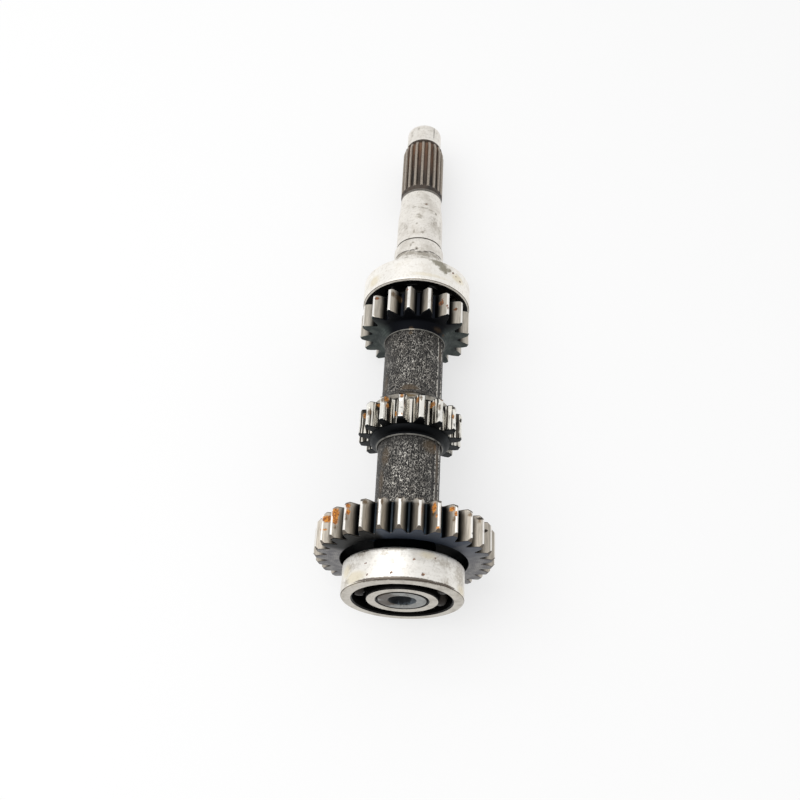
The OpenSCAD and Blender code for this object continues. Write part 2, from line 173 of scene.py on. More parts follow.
def ease(t):
    """The smooth step 3t^2 - 2t^3, held at 0 and 1 outside."""
    t = np.clip(t, 0, 1)
    return t * t * (3 - 2 * t)


def rise(value, low, high):
    """0 below low, 1 above high and the smooth step between."""
    return ease((value - low) / (high - low))


def smooth_noise(u, v, wrap, seed):
    """Values from 0 to 1 at (u, v): the corner numbers of the cell, blended with the smooth step in both
    directions. u repeats after wrap cells."""
    i, j = np.floor(u), np.floor(v)
    p, q = ease(u - i), ease(v - j)
    corner = [cell_number(np.mod(i + a, wrap), j + b, seed) for b in (0, 1) for a in (0, 1)]
    return (corner[0] * (1 - p) + corner[1] * p) * (1 - q) + (corner[2] * (1 - p) + corner[3] * p) * q


def nearest_seed(u, v, wrap, seed):
    """Distance from (u, v) to the nearest scattered seed, one seed to each cell. u repeats after wrap
    cells."""
    i, j = np.floor(u), np.floor(v)
    best = np.full(np.shape(u), 9.0)
    for b in (-1, 0, 1):
        for a in (-1, 0, 1):
            home_i, home_j = np.mod(i + a, wrap), j + b
            du = i + a + cell_number(home_i, home_j, seed) - u
            dv = j + b + cell_number(home_i, home_j, seed + 5) - v
            best = np.minimum(best, np.hypot(du, dv))
    return best


# %% [markdown]
# ## Rust, stains, scratches and painted shade by place
# The photograph shows each rust patch and stain at a certain place on the shaft. A mark is a station, an
# angle, its length along the axis, its width around it and its strength. Each becomes a soft round field
# on the grid, and the material breaks its edge up with fine noise, so it never looks like an ellipse.
# Some marks are painted shade, painted glints and painted sheen, placed in the same way.

# %% Soft marks on a grid
def marks(station, radius, angle, spots):
    """The strongest of several soft spots at each point: strength times exp(-d^2), where d joins the
    distance along the axis over the spot's half length and the distance around it over its half width."""
    field = np.zeros(np.broadcast(station, radius, angle).shape)
    for spot_station, spot_angle, length, width, strength in spots:
        turn = np.angle(np.exp(1j * (angle - math.radians(spot_angle))))
        d2 = ((station - spot_station) / (length / 2)) ** 2 + (turn * radius / (width / 2)) ** 2
        field = np.maximum(field, strength * np.exp(-d2))
    return field


def all_marks(station, radius, angle, spots):
    """One field of marks for each name in spots."""
    return {key: marks(station, radius, angle, places) for key, places in spots.items()}


# %% [markdown]
# ## One function that adds a node
# A colour is written as an sRGB hex value, as a paint card gives it, and one function turns it to the
# linear values that the shader works in. One more function adds any node with its settings and links and
# gives back the output that is wanted, so a material reads as a list of steps.

# %% Colours and nodes
SMOOTH = {"interpolation_type": "SMOOTHSTEP"}
TIMES_PLUS = {"operation": "MULTIPLY_ADD"}
COLOUR = {"data_type": "RGBA", "out": 2}


def linear(hex_colour):
    """sRGB hex to linear RGBA: c / 12.92 below 0.04045, else ((c + 0.055) / 1.055) ^ 2.4."""
    parts = [int(hex_colour[i : i + 2], 16) / 255 for i in (1, 3, 5)]
    return [c / 12.92 if c <= 0.04045 else ((c + 0.055) / 1.055) ** 2.4 for c in parts] + [1.0]


def node(tree, kind, inputs=None, out=0, **settings):
    """Adds one node, sets its settings and its inputs, and gives one of its outputs. An input that is a
    socket is linked, and a colour such as #aabbcc is made linear."""
    made = tree.nodes.new("ShaderNode" + kind)
    for key, value in settings.items():
        setattr(made, key, value)
    for key, value in (inputs or {}).items():
        if isinstance(value, bpy.types.NodeSocket):
            tree.links.new(value, made.inputs[key])
        else:
            made.inputs[key].default_value = linear(value) if isinstance(value, str) else value
    return made.outputs[out]


# %% Start and end of a material
def new_material(name):
    """An empty material with its tree, its shader and the shaft's own coordinates: x across, y along the
    axis and z up, in metres, turned from Object coordinates by the lean."""
    material = bpy.data.materials.new(name)
    material.use_nodes = True
    tree = material.node_tree
    shader = tree.nodes["Principled BSDF"]
    place_of = node(tree, "TexCoord", out="Object")
    moved = node(tree, "Mapping", {"Vector": place_of, "Location": [-c for c in near_end]})
    where = node(tree, "Mapping", {"Vector": moved, "Rotation": (lean, 0.0, 0.0)})
    return material, tree, shader, where


def close_material(tree, shader, values, height, depth_mm, strength):
    """Sets or links the shader's own inputs, and tilts its normal by a height of 0 to 1, depth_mm deep."""
    for key, value in values.items():
        if isinstance(value, bpy.types.NodeSocket):
            tree.links.new(value, shader.inputs[key])
        else:
            shader.inputs[key].default_value = value
    raised = node(tree, "Bump", {"Height": height, "Distance": depth_mm * MM, "Strength": strength})
    tree.links.new(raised, shader.inputs["Normal"])


def marked(tree, where, colour, layers):
    """Lays stored marks over a colour. Noise breaks up each mark's edge: with the middle m at
    0.5 + spread / 2, the share is a smooth step of mark + spread * noise from m - soft to m + soft.
    Gives the colour and the last share."""
    share = None
    for name, grain_mm, spread, soft, most, tint in layers:
        mark = node(tree, "Attribute", attribute_name=name, out="Fac")
        grain = node(
            tree, "TexNoise", {"Vector": where, "Scale": PER_MM / grain_mm, "Detail": 4.0, "Roughness": 0.65}
        )
        level = node(tree, "Math", {0: grain, 1: spread, 2: mark}, **TIMES_PLUS)
        middle = 0.5 + spread / 2
        share = node(tree, "MapRange", {0: level, 1: middle - soft, 2: middle + soft, 4: most}, **SMOOTH)
        colour = node(tree, "Mix", {0: share, 6: colour, 7: tint}, **COLOUR)
    return colour, share


def patched(tree, where, colour, tint, grain_mm, low, high, most=1.0, **noise):
    """Lays patches of tint over a colour. Their share is most times the smooth step of noise from low to
    high. Gives the colour and the noise."""
    grain = node(tree, "TexNoise", {"Vector": where, "Scale": PER_MM / grain_mm, **noise})
    share = node(tree, "MapRange", {0: grain, 1: low, 2: high, 4: most}, **SMOOTH)
    return node(tree, "Mix", {0: share, 6: colour, 7: tint}, **COLOUR), grain


def rust_tint(tree, where, dark, light):
    """Rust is never one colour: dark and light mixed by noise of one millimetre."""
    return patched(tree, where, dark, light, 0.95, 0.4, 0.62)[0]


# %% [markdown]
# ## Finishes of bare steel
# All bare steel here starts from one recipe: a metal whose colour drifts slightly, crossed by the fine
# lines that grinding or turning left around the axis, with grey smudges, brown stains, dark grime,
# painted shade and rust where the marks say so. Each surface then has its own tint, roughness and depth
# of dirt.

# %% Ground and turned steel
def bare_steel(name, clean, smudged, roughness, smudge_share=0.5, stain="#b3aa9d", dirt_and_shade="#4b423a"):
    """Clean tint, smudges by broad and fine noise, circular tool lines, then stains, dirt and
    painted shade, and rust.
    """
    material, tree, shader, where = new_material(name)
    broad, fine = {"Detail": 5.0, "Roughness": 0.62}, {"Detail": 3.0, "Roughness": 0.6}
    colour, cloud = patched(tree, where, clean, smudged, 8, 0.46, 0.7, smudge_share, **broad)
    colour, mottle = patched(tree, where, colour, smudged, 1.3, 0.48, 0.74, 0.45, **fine)
    around = node(tree, "Mapping", {"Vector": where, "Scale": (0.025, 1.0, 0.025)})
    colour = patched(tree, around, colour, smudged, 0.5, 0.35, 0.7, 0.12)[0]
    rust = rust_tint(tree, where, "#4c3322", "#8a5a30")
    layers = [
        ("cream", 3.0, 0.5, 0.3, 0.6, "#e6dabb"),
        ("stain", 1.5, 1.3, 0.3, 0.85, stain),
        # Dark grime, and painted shade where the marks stand for it, as in the centre hole
        ("grime_and_shade", 0.9, 0.9, 0.2, 0.9, dirt_and_shade),
        ("rust", 0.8, 0.9, 0.12, 0.95, rust),
    ]
    colour, rusty = marked(tree, where, colour, layers)
    metallic = node(tree, "MapRange", {0: rusty, 3: 0.85, 4: 0.05})
    worn = node(tree, "MapRange", {0: cloud, 1: 0.4, 2: 0.7, 3: roughness, 4: roughness + 0.12}, **SMOOTH)
    matt = node(tree, "Math", {0: rusty, 1: 0.85}, operation="MULTIPLY")
    rough = node(tree, "Math", {0: worn, 1: matt}, operation="MAXIMUM")
    values = {"Base Color": colour, "Metallic": metallic, "Roughness": rough}
    close_material(tree, shader, values, mottle, 0.03, 0.3)
    return material


# Ground bearing steel, satin and almost white under soft light, with grey smudges
near_outside = bare_steel(
    "ground_bearing_steel", "#f9f6f0", "#c6c0b6", 0.42, stain="#b9b1a4", dirt_and_shade="#4a3d30"
)
# The same steel on the far ring, with a taupe patch of dried oil
far_outside = bare_steel("ground_steel_oil_patch", "#fdfaf4", "#cfc8bc", 0.42, 0.35, stain="#87816f")
# The near rings' side faces are ground flat and catch less light
ring_face = bare_steel("ring_face_steel", "#cbc6bd", "#9b958b", 0.45)
# Corner of the ring near its face, where dirt has stuck in the chamfer
ring_corner_dirt = bare_steel("dirty_ring_chamfer", "#6f655a", "#3c342d", 0.5, 0.9)
# Races, shoulders and the hidden faces of the bearings: old black oil, with painted shade of the gap
# between the rings
race_oil_and_shade = bare_steel("race_steel_oil_and_painted_shade", "#151413", "#0a0a0a", 0.4)
# Turned end face of the shaft, oily and a shade darker than the ring
turned_face = bare_steel("turned_end_face", "#969795", "#6d6e6d", 0.42)
# Wall of the centre hole: blue-grey where light reaches in, else black with painted shade
centre_wall = bare_steel("centre_hole_wall", "#5b6268", "#2a2f34", 0.4, dirt_and_shade="#0b0c0e")
# Ground seat and journal: satin and off-white, with brownish handling stains
seat_steel = bare_steel("ground_journal_steel", "#f2eee7", "#b9b2a7", 0.42, stain="#a39c90", dirt_and_shade="#5d564f")
# Ring next to the spline, tinted brown and blue-grey by heat and damp
blued_ring = bare_steel("tinted_runout", "#7f7a73", "#464340", 0.42, 0.9, stain="#6d4c33")
# Corner where the spline ends, dark with dried oil
oiled_ring = bare_steel("dried_oil_corner", "#4b3e34", "#29221d", 0.5, 0.9)
# Rolled bearing balls and the pressed cage strip, all under a film of black oil and darkened as
# painted shade of the bearing gap
ball_steel = bare_steel("ball_steel_oil_and_painted_shade", "#1d1c1b", "#0d0c0c", 0.27)
cage_strip = bare_steel("cage_strip_oil_and_painted_shade", "#2c2723", "#131211", 0.4)

# %% [markdown]
# ## Black forge scale
# The tubes were never machined. Their skin is the oxide scale of the forge, blasted and oiled: dark grey
# and pebbled at about a millimetre, with short bright glints painted on the crests and painted shade in
# the hollows. The painted glints gather on the top of the tube, which faces the light, and along the
# rails of the parting line.

# %% Forge scale
def forge_scale(name, hollow, base, crest):
    """A crest is where noise n passes its middle, so off = |2n - 1| is small. Painted glints show where
    glint + 0.16 * patches - off is high, and painted shade darkens the hollows where off is large."""
    material, tree, shader, where = new_material(name)
    drawn = node(tree, "Mapping", {"Vector": where, "Scale": (1.0, 0.5, 1.0)})
    grain = node(tree, "TexNoise", {"Vector": drawn, "Scale": PER_MM / 0.92, "Detail": 1.0})
    twice = node(tree, "Math", {0: grain, 1: 2.0, 2: -1.0}, **TIMES_PLUS)
    off = node(tree, "Math", {0: twice}, operation="ABSOLUTE")
    patches = node(tree, "TexNoise", {"Vector": where, "Scale": PER_MM / 3.5})
    glint = node(tree, "Attribute", attribute_name="glint", out="Fac")
    lift = node(tree, "Math", {0: patches, 1: 0.16, 2: glint}, **TIMES_PLUS)
    level = node(tree, "Math", {0: off, 1: -1.0, 2: lift}, **TIMES_PLUS)
    glint_share = node(tree, "MapRange", {0: level, 1: 0.075, 2: 0.125}, **SMOOTH)
    # Painted shade in the hollows of the scale
    deep = node(tree, "MapRange", {0: off, 1: 0.07, 2: 0.2}, **SMOOTH)
    colour = patched(tree, where, base, "#4b443b", 14, 0.45, 0.65, 0.55)[0]
    colour = node(tree, "Mix", {0: deep, 6: colour, 7: hollow}, **COLOUR)
    colour = node(tree, "Mix", {0: glint_share, 6: colour, 7: crest}, **COLOUR)
    layers = [
        # On the lower tube this layer also paints the shadow under the collar's lip
        ("grime_and_shade", 3.0, 0.4, 0.35, 0.7, "#1b1a18"),
        ("stain", 1.4, 0.7, 0.25, 0.6, "#54442f"),
        ("rust", 1.0, 0.9, 0.2, 0.7, "#5c4224"),
    ]
    colour = marked(tree, where, colour, layers)[0]
    metallic = node(tree, "MapRange", {0: glint_share, 3: 0.3, 4: 0.85})
    rough = node(tree, "MapRange", {0: glint_share, 3: 0.5, 4: 0.36})
    height = node(tree, "Math", {0: 1.0, 1: off}, operation="SUBTRACT")
    values = {"Base Color": colour, "Metallic": metallic, "Roughness": rough}
    close_material(tree, shader, values, height, 0.2, 0.8)
    return material


# Dark scale, with painted glints on its crests and painted shade in its hollows
tube_scale = forge_scale("oiled_forge_scale", "#151413", "#423f3b", "#cdc9c1")

# %% [markdown]
# ## Gear teeth
# A tooth has three looks. The land on its tip is ground bright, the flanks are satin and a little brown
# with old oil, and the gap between two teeth is nearly black with oil and painted shade, with a painted
# bluish reflection on its floor.
# The grid stores how far up the tooth a point is, so the colour follows the profile from gap to land.

# %% Tooth steel
def tooth_steel(name, land, flank, gap, floor, gap_share, roughness, shine=0.0, rust=("#8a4c14", "#d58a26")):
    """Colour by height on the tooth: floor, then gap, then flank from about gap_share up, then land. The
    dark gap and floor hold painted shade as well as oil. shine adds bright streaks along the tooth where it
    is polished, with their highlights painted in."""
    material, tree, shader, where = new_material(name)
    height = node(tree, "Attribute", attribute_name="height", out="Fac")
    drawn = node(tree, "Mapping", {"Vector": where, "Scale": (1.0, 0.33, 1.0)})
    wobble = node(tree, "TexNoise", {"Vector": drawn, "Scale": PER_MM / 2.2, "Detail": 3.0})
    level = node(tree, "Math", {0: wobble, 1: 0.12, 2: height}, **TIMES_PLUS)
    lengthwise = node(tree, "Mapping", {"Vector": where, "Scale": (1.0, 0.07, 1.0)})
    satin, streak = patched(tree, lengthwise, flank, gap, 0.55, 0.42, 0.62, 0.25 + 0.65 * shine)
    # The floor and gap colours are oil with painted shade, and on some floors a painted bluish reflection
    above_floor = node(tree, "MapRange", {0: level, 1: 0.065, 2: 0.11}, **SMOOTH)
    colour = node(tree, "Mix", {0: above_floor, 6: floor, 7: gap}, **COLOUR)
    on_flank = node(tree, "MapRange", {0: level, 1: gap_share - 0.24, 2: gap_share + 0.3}, **SMOOTH)
    colour = node(tree, "Mix", {0: on_flank, 6: colour, 7: satin}, **COLOUR)
    if shine:
        # Painted highlights on the polished streaks
        straight = node(tree, "Mapping", {"Vector": where, "Scale": (1.0, 0.03, 1.0)})
        bands = node(tree, "TexNoise", {"Vector": straight, "Scale": PER_MM / 0.9, "Detail": 0.5})
        in_lengths = node(tree, "Mapping", {"Vector": where, "Scale": (0.4, 0.16, 0.4)})
        gate = node(tree, "TexNoise", {"Vector": in_lengths, "Scale": PER_MM, "Detail": 0.5})
        gated = node(tree, "Math", {0: gate, 1: 0.4, 2: bands}, **TIMES_PLUS)
        bright = node(tree, "MapRange", {0: gated, 1: 0.71, 2: 0.745, 4: shine}, **SMOOTH)
        colour = node(tree, "Mix", {0: bright, 6: colour, 7: "#f2eee4"}, **COLOUR)
    used_land = patched(tree, where, land, flank, 3.0, 0.57, 0.72, 0.5, Detail=4.0)[0]
    on_land = node(tree, "MapRange", {0: height, 1: 0.93, 2: 0.98}, **SMOOTH)
    colour = node(tree, "Mix", {0: on_land, 6: colour, 7: used_land}, **COLOUR)
    layers = [
        ("stain", 0.9, 0.8, 0.22, 0.85, "#6b563c"),
        ("grime_and_shade", 0.9, 0.9, 0.12, 0.95, "#29231e"),
        # Bluish painted glints on the gap floors
        ("painted_blue_glint", 1.5, 0.4, 0.3, 0.8, "#4b6076"),
        ("rust", 0.9, 0.9, 0.16, 0.95, rust_tint(tree, where, *rust)),
    ]
    colour, rusty = marked(tree, where, colour, layers)
    metallic = node(tree, "MapRange", {0: rusty, 3: 0.85, 4: 0.0})
    rough = node(tree, "MapRange", {0: rusty, 3: roughness, 4: 0.9})
    values = {"Base Color": colour, "Metallic": metallic, "Roughness": rough}
    close_material(tree, shader, values, streak, 0.03, 0.4)
    return material


# Shaved teeth of the large gear, satin, with oil and painted shade in the gaps and a painted bluish
# reflection on their floors
big_teeth_steel = tooth_steel("shaved_gear_teeth", "#f6f3ee", "#b9b1a5", "#0f1012", "#22292f", 0.46, 0.36)
# Teeth that a sliding sleeve has polished and battered, with ochre rust, painted highlights on the
# polish and painted shade in the gaps
middle_teeth_steel = tooth_steel(
    "worn_sliding_teeth", "#f3f1ea", "#5a554d", "#0c0d0d", "#33312d", 0.3, 0.26,
    shine=0.95, rust=("#6e4416", "#b07428"),
)
# Shaved teeth of the small gear, with small dark rust spots, painted shade in the gaps and a dark
# bluish painted reflection on their floors
far_teeth_steel = tooth_steel(
    "shaved_gear_teeth_far", "#f6f3ee", "#c4bdb1", "#0b0c0e", "#12161e", 0.48, 0.36,
    rust=("#4f2c17", "#8a5226"),
)
# Bevel on the near end of a tooth, brown with old oil
bevel_steel = bare_steel("oily_tooth_bevel", "#6a6259", "#3a3632", 0.42)

# %% [markdown]
# ## Oily faces with painted shade and sheen
# The gear faces were turned, so faint rings run around the axis. A painted shade darkens the side that
# points away from the light, and a painted reflection of a little blue sky lies on the other.

# %% Oily turned face
TURNED_PITCH = 0.9


def oiled_face(name, colour_a, colour_b, painted_shade_colour, lit, roughness, metallic, ring_depth=0.01, gloss=0.2):
    """Rings are the sine of 2 pi * radius / TURNED_PITCH, ring_depth mm deep. The stored painted_shade and
    lit fields lay the painted shade colour and the painted sheen colour lit over the bare ones, with their
    edges softened by noise."""
    material, tree, shader, where = new_material(name)
    flat = node(tree, "VectorMath", {0: where, 1: (1.0, 0.0, 1.0)}, operation="MULTIPLY")
    radius = node(tree, "VectorMath", {0: flat}, out="Value", operation="LENGTH")
    turns = node(tree, "Math", {0: radius, 1: math.tau * PER_MM / TURNED_PITCH}, operation="MULTIPLY")
    wave = node(tree, "Math", {0: turns}, operation="SINE")
    cloud = node(tree, "TexNoise", {"Vector": where, "Scale": PER_MM / 4.0, "Detail": 4.0})
    blend = node(tree, "Math", {0: wave, 1: 0.05, 2: cloud}, **TIMES_PLUS)
    share = node(tree, "MapRange", {0: blend, 1: 0.35, 2: 0.7}, **SMOOTH)
    colour = node(tree, "Mix", {0: share, 6: colour_a, 7: colour_b}, **COLOUR)
    layers = [
        # Painted shade, then a painted bluish sheen
        ("painted_shade", 4.0, 0.4, 0.35, 1.0, painted_shade_colour),
        ("lit", 4.0, 0.4, 0.35, 1.0, lit),
        ("stain", 1.2, 0.7, 0.25, 0.8, "#3f3326"),
        ("rust", 1.0, 0.9, 0.14, 0.85, "#5a3a22"),
    ]
    colour = marked(tree, where, colour, layers)[0]
    values = {"Base Color": colour, "Metallic": metallic, "Roughness": roughness}
    values["Specular IOR Level"] = gloss
    close_material(tree, shader, values, wave, ring_depth, 0.25)
    return material


# Turned face of the large gear: grey at the sides; at the top, painted shade and a painted bluish sheen
big_face = oiled_face("turned_gear_face", "#646366", "#898785", "#0a0c0e", "#3e4654", 0.45, 0.85)
# Its back face, which no light reaches in the photograph: evenly dark with oil
big_back = oiled_face("turned_gear_back", "#4a4a4a", "#6a6866", "#1a1b1c", "#2a3038", 0.5, 0.85)
# Wall and floor of the deep recess, black: painted shade over oil, with a painted bluish sheen
recess_face = oiled_face("recess_painted_shade_and_oil", "#040506", "#090c0f", "#040506", "#2b4054", 0.55, 0.2, gloss=0.05)
# Collars of the middle gear, black: painted shade of faces turned from the light, over oil
dark_face = oiled_face("collar_painted_shade_and_oil", "#16191b", "#2a2d2f", "#0b0d0f", "#1b222a", 0.45, 0.8, 0.002)
# Face of the small gear, grey-green at the sides, and black at the top with painted shade
far_face = oiled_face("gear_face_with_painted_shade", "#353b3a", "#4f5552", "#0a0c11", "#13161b", 0.5, 0.8, 0.004)
# Lip of a collar, rubbed bright in places
lip_edge = bare_steel("rubbed_lip", "#7b7974", "#222120", 0.45, 0.95)
# Bright trimmed collar beyond the middle gear
collar_steel = bare_steel("trimmed_collar", "#a8a399", "#4c463d", 0.35, 0.8, stain="#6d5a3c")

# %% [markdown]
# ## Sections
# A section is a list of corners, each a station and a radius, with the number of the material on the
# stretch that starts there. Long stretches are cut into short steps, so that the stored marks have points
# to sit on. Rounded corners are small arcs.

# %% Cut a section into short steps
def corner_arc(station, radius, size, start, end, steps=5):
    """Points on an arc about (station, radius): station + size sin a, radius + size cos a, with the
    angle a in degrees running from start to end."""
    angles = np.radians(np.linspace(start, end, steps + 1))
    return [(station + size * math.sin(a), radius + size * math.cos(a)) for a in angles]


def stepped(corners, step):
    """Stations, radii and zones of a section whose stretches are cut into pieces no longer than step."""
    station, radius, zone = [], [], []
    for (s0, r0, z0), (s1, r1, _) in zip(corners[:-1], corners[1:]):
        count = max(1, math.ceil(math.hypot(s1 - s0, r1 - r0) / step))
        share = np.arange(count) / count
        station += list(s0 + (s1 - s0) * share)
        radius += list(r0 + (r1 - r0) * share)
        zone += [z0] * count
    station.append(corners[-1][0])
    radius.append(corners[-1][1])
    zone.append(corners[-1][2])
    return np.array(station), np.array(radius), np.array(zone)


def lathe(name, corners, materials, columns, step, spots, ring=False):
    """A section turned about the axis: the point at row i and column j is (station i, radius i) at the
    angle 2 pi j / columns. spots holds lists of marks by name."""
    station, radius, zone = stepped(corners, step)
    if ring:
        station, radius, zone = station[:-1], radius[:-1], zone[:-1]
    angle = np.arange(columns) * math.tau / columns
    grid_s = np.repeat(station[:, None], columns, 1)
    grid_r = np.repeat(radius[:, None], columns, 1)
    grid_a = np.repeat(angle[None, :], len(station), 0)
    fields = all_marks(grid_s, grid_r, grid_a, spots)
    return skin(name, place(grid_s, grid_r, grid_a), zone, fields, materials, ring)


# %% [markdown]
# ## Bearing rings
# Both bearings measure 62 mm outside. A ring's section is a rectangle with rounded corners and a groove
# for the balls. The outside was ground bright, and a thin band of dirt marks the near corner.

# %% Rings
BEARING_R = 31.0
RING_CORNER = 1.4
BORE_CORNER = 1.8
RING_STEP = 1.2
RING_COLUMNS = 220
RACE_RATIO = 1.04
BALL_PLAY = 0.06
SHOULDER_CHAMFER = 0.7
INNER_CHAMFER_W, INNER_CHAMFER_H = 0.4, 0.3
RACE_STEPS = 10


def outer_ring(name, start, width, sizes, outside, face, spots):
    """Outer ring: out over the near face, along the ground outside, in over the far face, and back
    through the bore with its ball groove. sizes are the pitch radius, ball radius and half gap."""
    pitch_r, ball_r, half_gap = sizes
    inner_r, race_r = pitch_r + half_gap, ball_r * RACE_RATIO
    race_middle_r = pitch_r + ball_r + BALL_PLAY - race_r
    dip = math.degrees(math.acos((inner_r - race_middle_r) / race_r))
    end = start + width
    near_corner = corner_arc(start + RING_CORNER, BEARING_R - RING_CORNER, RING_CORNER, -90, 0)
    far_corner = corner_arc(end - RING_CORNER, BEARING_R - RING_CORNER, RING_CORNER, 0, 90)
    section = [(start + SHOULDER_CHAMFER, inner_r, 3), (start, inner_r + SHOULDER_CHAMFER, 1)]
    section += [(s, r, (1, 4, 4, 2, 0, 0)[i]) for i, (s, r) in enumerate(near_corner)]
    section += [(s, r, 0) for s, r in far_corner[:-1]] + [(*far_corner[-1], 3)]
    section += [(end, inner_r + SHOULDER_CHAMFER, 3), (end - SHOULDER_CHAMFER, inner_r, 3)]
    groove = corner_arc(start + width / 2, race_middle_r, race_r, dip, -dip, RACE_STEPS)
    section += [(s, r, 3) for s, r in groove]
    section.append(section[0])
    materials = [outside, face, ring_corner_dirt, race_oil_and_shade, ring_face]
    return lathe(name, section, materials, RING_COLUMNS, RING_STEP, spots, ring=True)


def inner_ring(name, start, width, bore_r, corner, sizes, near_face):
    """Inner ring: up the near face, over the shoulder with its ball groove, and down the far face. The
    corner of its bore is black with oil and painted shade, and near_face is the material inside that corner."""
    pitch_r, ball_r, half_gap = sizes
    outer_r, race_r = pitch_r - half_gap, ball_r * RACE_RATIO
    race_middle_r = pitch_r - ball_r - BALL_PLAY + race_r
    dip = math.degrees(math.acos((race_middle_r - outer_r) / race_r))
    end = start + width
    near_corner = corner_arc(start + corner, bore_r + corner, corner, 180, 270)
    far_corner = corner_arc(end - corner, bore_r + corner, corner, 90, 180)
    groove = corner_arc(start + width / 2, race_middle_r, race_r, 180 + dip, 180 - dip, RACE_STEPS)
    section = [(s, r, 1 if i < 4 else 2) for i, (s, r) in enumerate(near_corner)]
    section += [(start, outer_r - INNER_CHAMFER_H, 1), (start + INNER_CHAMFER_W, outer_r, 1)]
    section += [(s, r, 1) for s, r in groove]
    section += [(end - INNER_CHAMFER_W, outer_r, 0), (end, outer_r - INNER_CHAMFER_H, 0)]
    section += [(s, r, 0) for s, r in far_corner]
    section.append(section[0])
    return lathe(name, section, [ring_face, race_oil_and_shade, near_face], RING_COLUMNS, RING_STEP, {}, ring=True)


def bearing_sizes(bore_r, ball_share, gap_share):
    """Pitch radius, ball radius and half gap of a bearing, from its bore and the shares of its height."""
    ball_r = ball_share * (BEARING_R - bore_r) / 2
    return (BEARING_R + bore_r) / 2, ball_r, gap_share * ball_r


NEAR_BORE_R, FAR_BORE_R = 12.5, 15.0
SEAT_GAP = 0.01
near_sizes = bearing_sizes(NEAR_BORE_R, 0.62, 0.6)
far_sizes = bearing_sizes(FAR_BORE_R, 0.59, 0.73)

# Pits, rust specks and patches, each a station, an angle, a length, a width and a strength
near_ring_spots = {
    "rust": [
        (11.3, 7.2, 1.4, 1.4, 1.5), (4.1, 15.5, 1.7, 1.7, 1.3), (13.6, 27.1, 1.3, 1.2, 1.45),
        (3.8, -12.4, 1.2, 1.2, 1.35), (10.1, -38.5, 1.2, 1.5, 1.4), (3.6, -35.9, 1.0, 1.0, 1.0),
    ],
    "stain": [
        (15.9, -8, 1.8, 14, 0.9), (14.8, -45, 3.2, 10, 0.8), (12, 36, 6, 20, 0.62), (3.0, -66, 6, 8, 0.7),
        (9, 62, 14, 14, 0.7), (10, -58, 8, 8, 0.6), (14, -20, 3, 6, 0.7), (3, 40, 5, 9, 0.6),
    ],
    "cream": [(4, -52, 7, 18, 1.0), (9, -66, 8, 10, 0.9), (14, 20, 5, 12, 0.8), (3, 66, 6, 12, 0.8)],
    "grime_and_shade": [
        (16.0, -40, 1.2, 8, 0.85), (15.9, -18, 0.9, 5, 0.7), (1.2, 0, 1.1, 44, 1.2),
        (1.3, -36, 0.8, 20, 1.05), (1.2, 38, 0.9, 20, 1.05), (0.5, 0, 0.8, 60, 0.8),
    ],
}
far_ring_spots = {
    "rust": [(186.0, 38.1, 2.4, 2.2, 0.85), (183.2, 49.6, 1.8, 2.6, 0.85), (184.5, 42.7, 1.4, 1.8, 0.8)],
    "stain": [
        (188.6, 21, 4.4, 9, 1.25), (185.6, 26, 4.0, 6.4, 1.2), (183.6, 28, 2.4, 3.0, 1.0),
        (190.0, 16, 2.6, 7, 1.1), (186.4, 33, 3.4, 4, 0.9),
    ],
    "cream": [(184, 46, 6, 12, 1.0), (181, -55, 8, 12, 0.9), (179, 10, 3, 30, 0.7)],
    "grime_and_shade": [(188.6, 24, 1.4, 2.0, 0.7), (185.0, 29, 1.2, 1.6, 0.7)],
}
near_outer = outer_ring(
    "near_ring_outer_skin", 0.0, NEAR_BEARING_W, near_sizes, near_outside, ring_face, near_ring_spots
)
far_outer = outer_ring(
    "far_ring_outer_skin", far_bearing_start, FAR_BEARING_W, far_sizes, far_outside, race_oil_and_shade,
    far_ring_spots,
)
near_inner = inner_ring(
    "near_ring_inner_skin", 0.0, NEAR_BEARING_W, NEAR_BORE_R + SEAT_GAP, BORE_CORNER, near_sizes, ring_face
)
far_inner = inner_ring(
    "far_ring_inner_skin", far_bearing_start, FAR_BEARING_W, FAR_BORE_R + SEAT_GAP, RING_CORNER, far_sizes,
    race_oil_and_shade,
)
for piece, body, cad_node in (
    (near_outer, "near_outer", "near_outer_ring"),
    (far_outer, "far_outer", "far_outer_ring"),
    (near_inner, "shaft_body", "near_inner_ring"),
    (far_inner, "shaft_body", "far_inner_ring"),
):
    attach(piece, body)
    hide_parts(cad_node)

# %% [markdown]
# ## Balls, cages and rivets
# These come from the CAD model with their shape right: balls, and two pressed strips riveted together
# between them. They only need their finish, which is dark with oil and with painted shade of the bearing
# gap all over.

# %% Finishes of the parts inside the bearings
for name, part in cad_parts.items():
    finish = ball_steel if "balls" in name else cage_strip
    if "balls" in name or "cage" in name or "rivets" in name:
        part.data.materials.clear()
        part.data.materials.append(finish)
        print(name, "gets", finish.name)

# %% [markdown]
# ## The forged tubes
# The tube is round but pebbled. Each scattered seed raises a small crown, so the height is one minus the
# distance to the nearest seed, and a second layer of noise makes the crowns run together. The trimmed
# parting line of the forging stands out as two low rails on each side.

# %% Tube skin
TUBE_COLUMNS = 270
TUBE_STEP = 0.42
PEBBLE_DEPTH = 0.2
SCALE_GRAIN = 1.25
FLASH_ANGLE = math.radians(59)
RAIL_OFF, RAIL_HALF_W, RAIL_H = 2.0, 0.55, 0.35


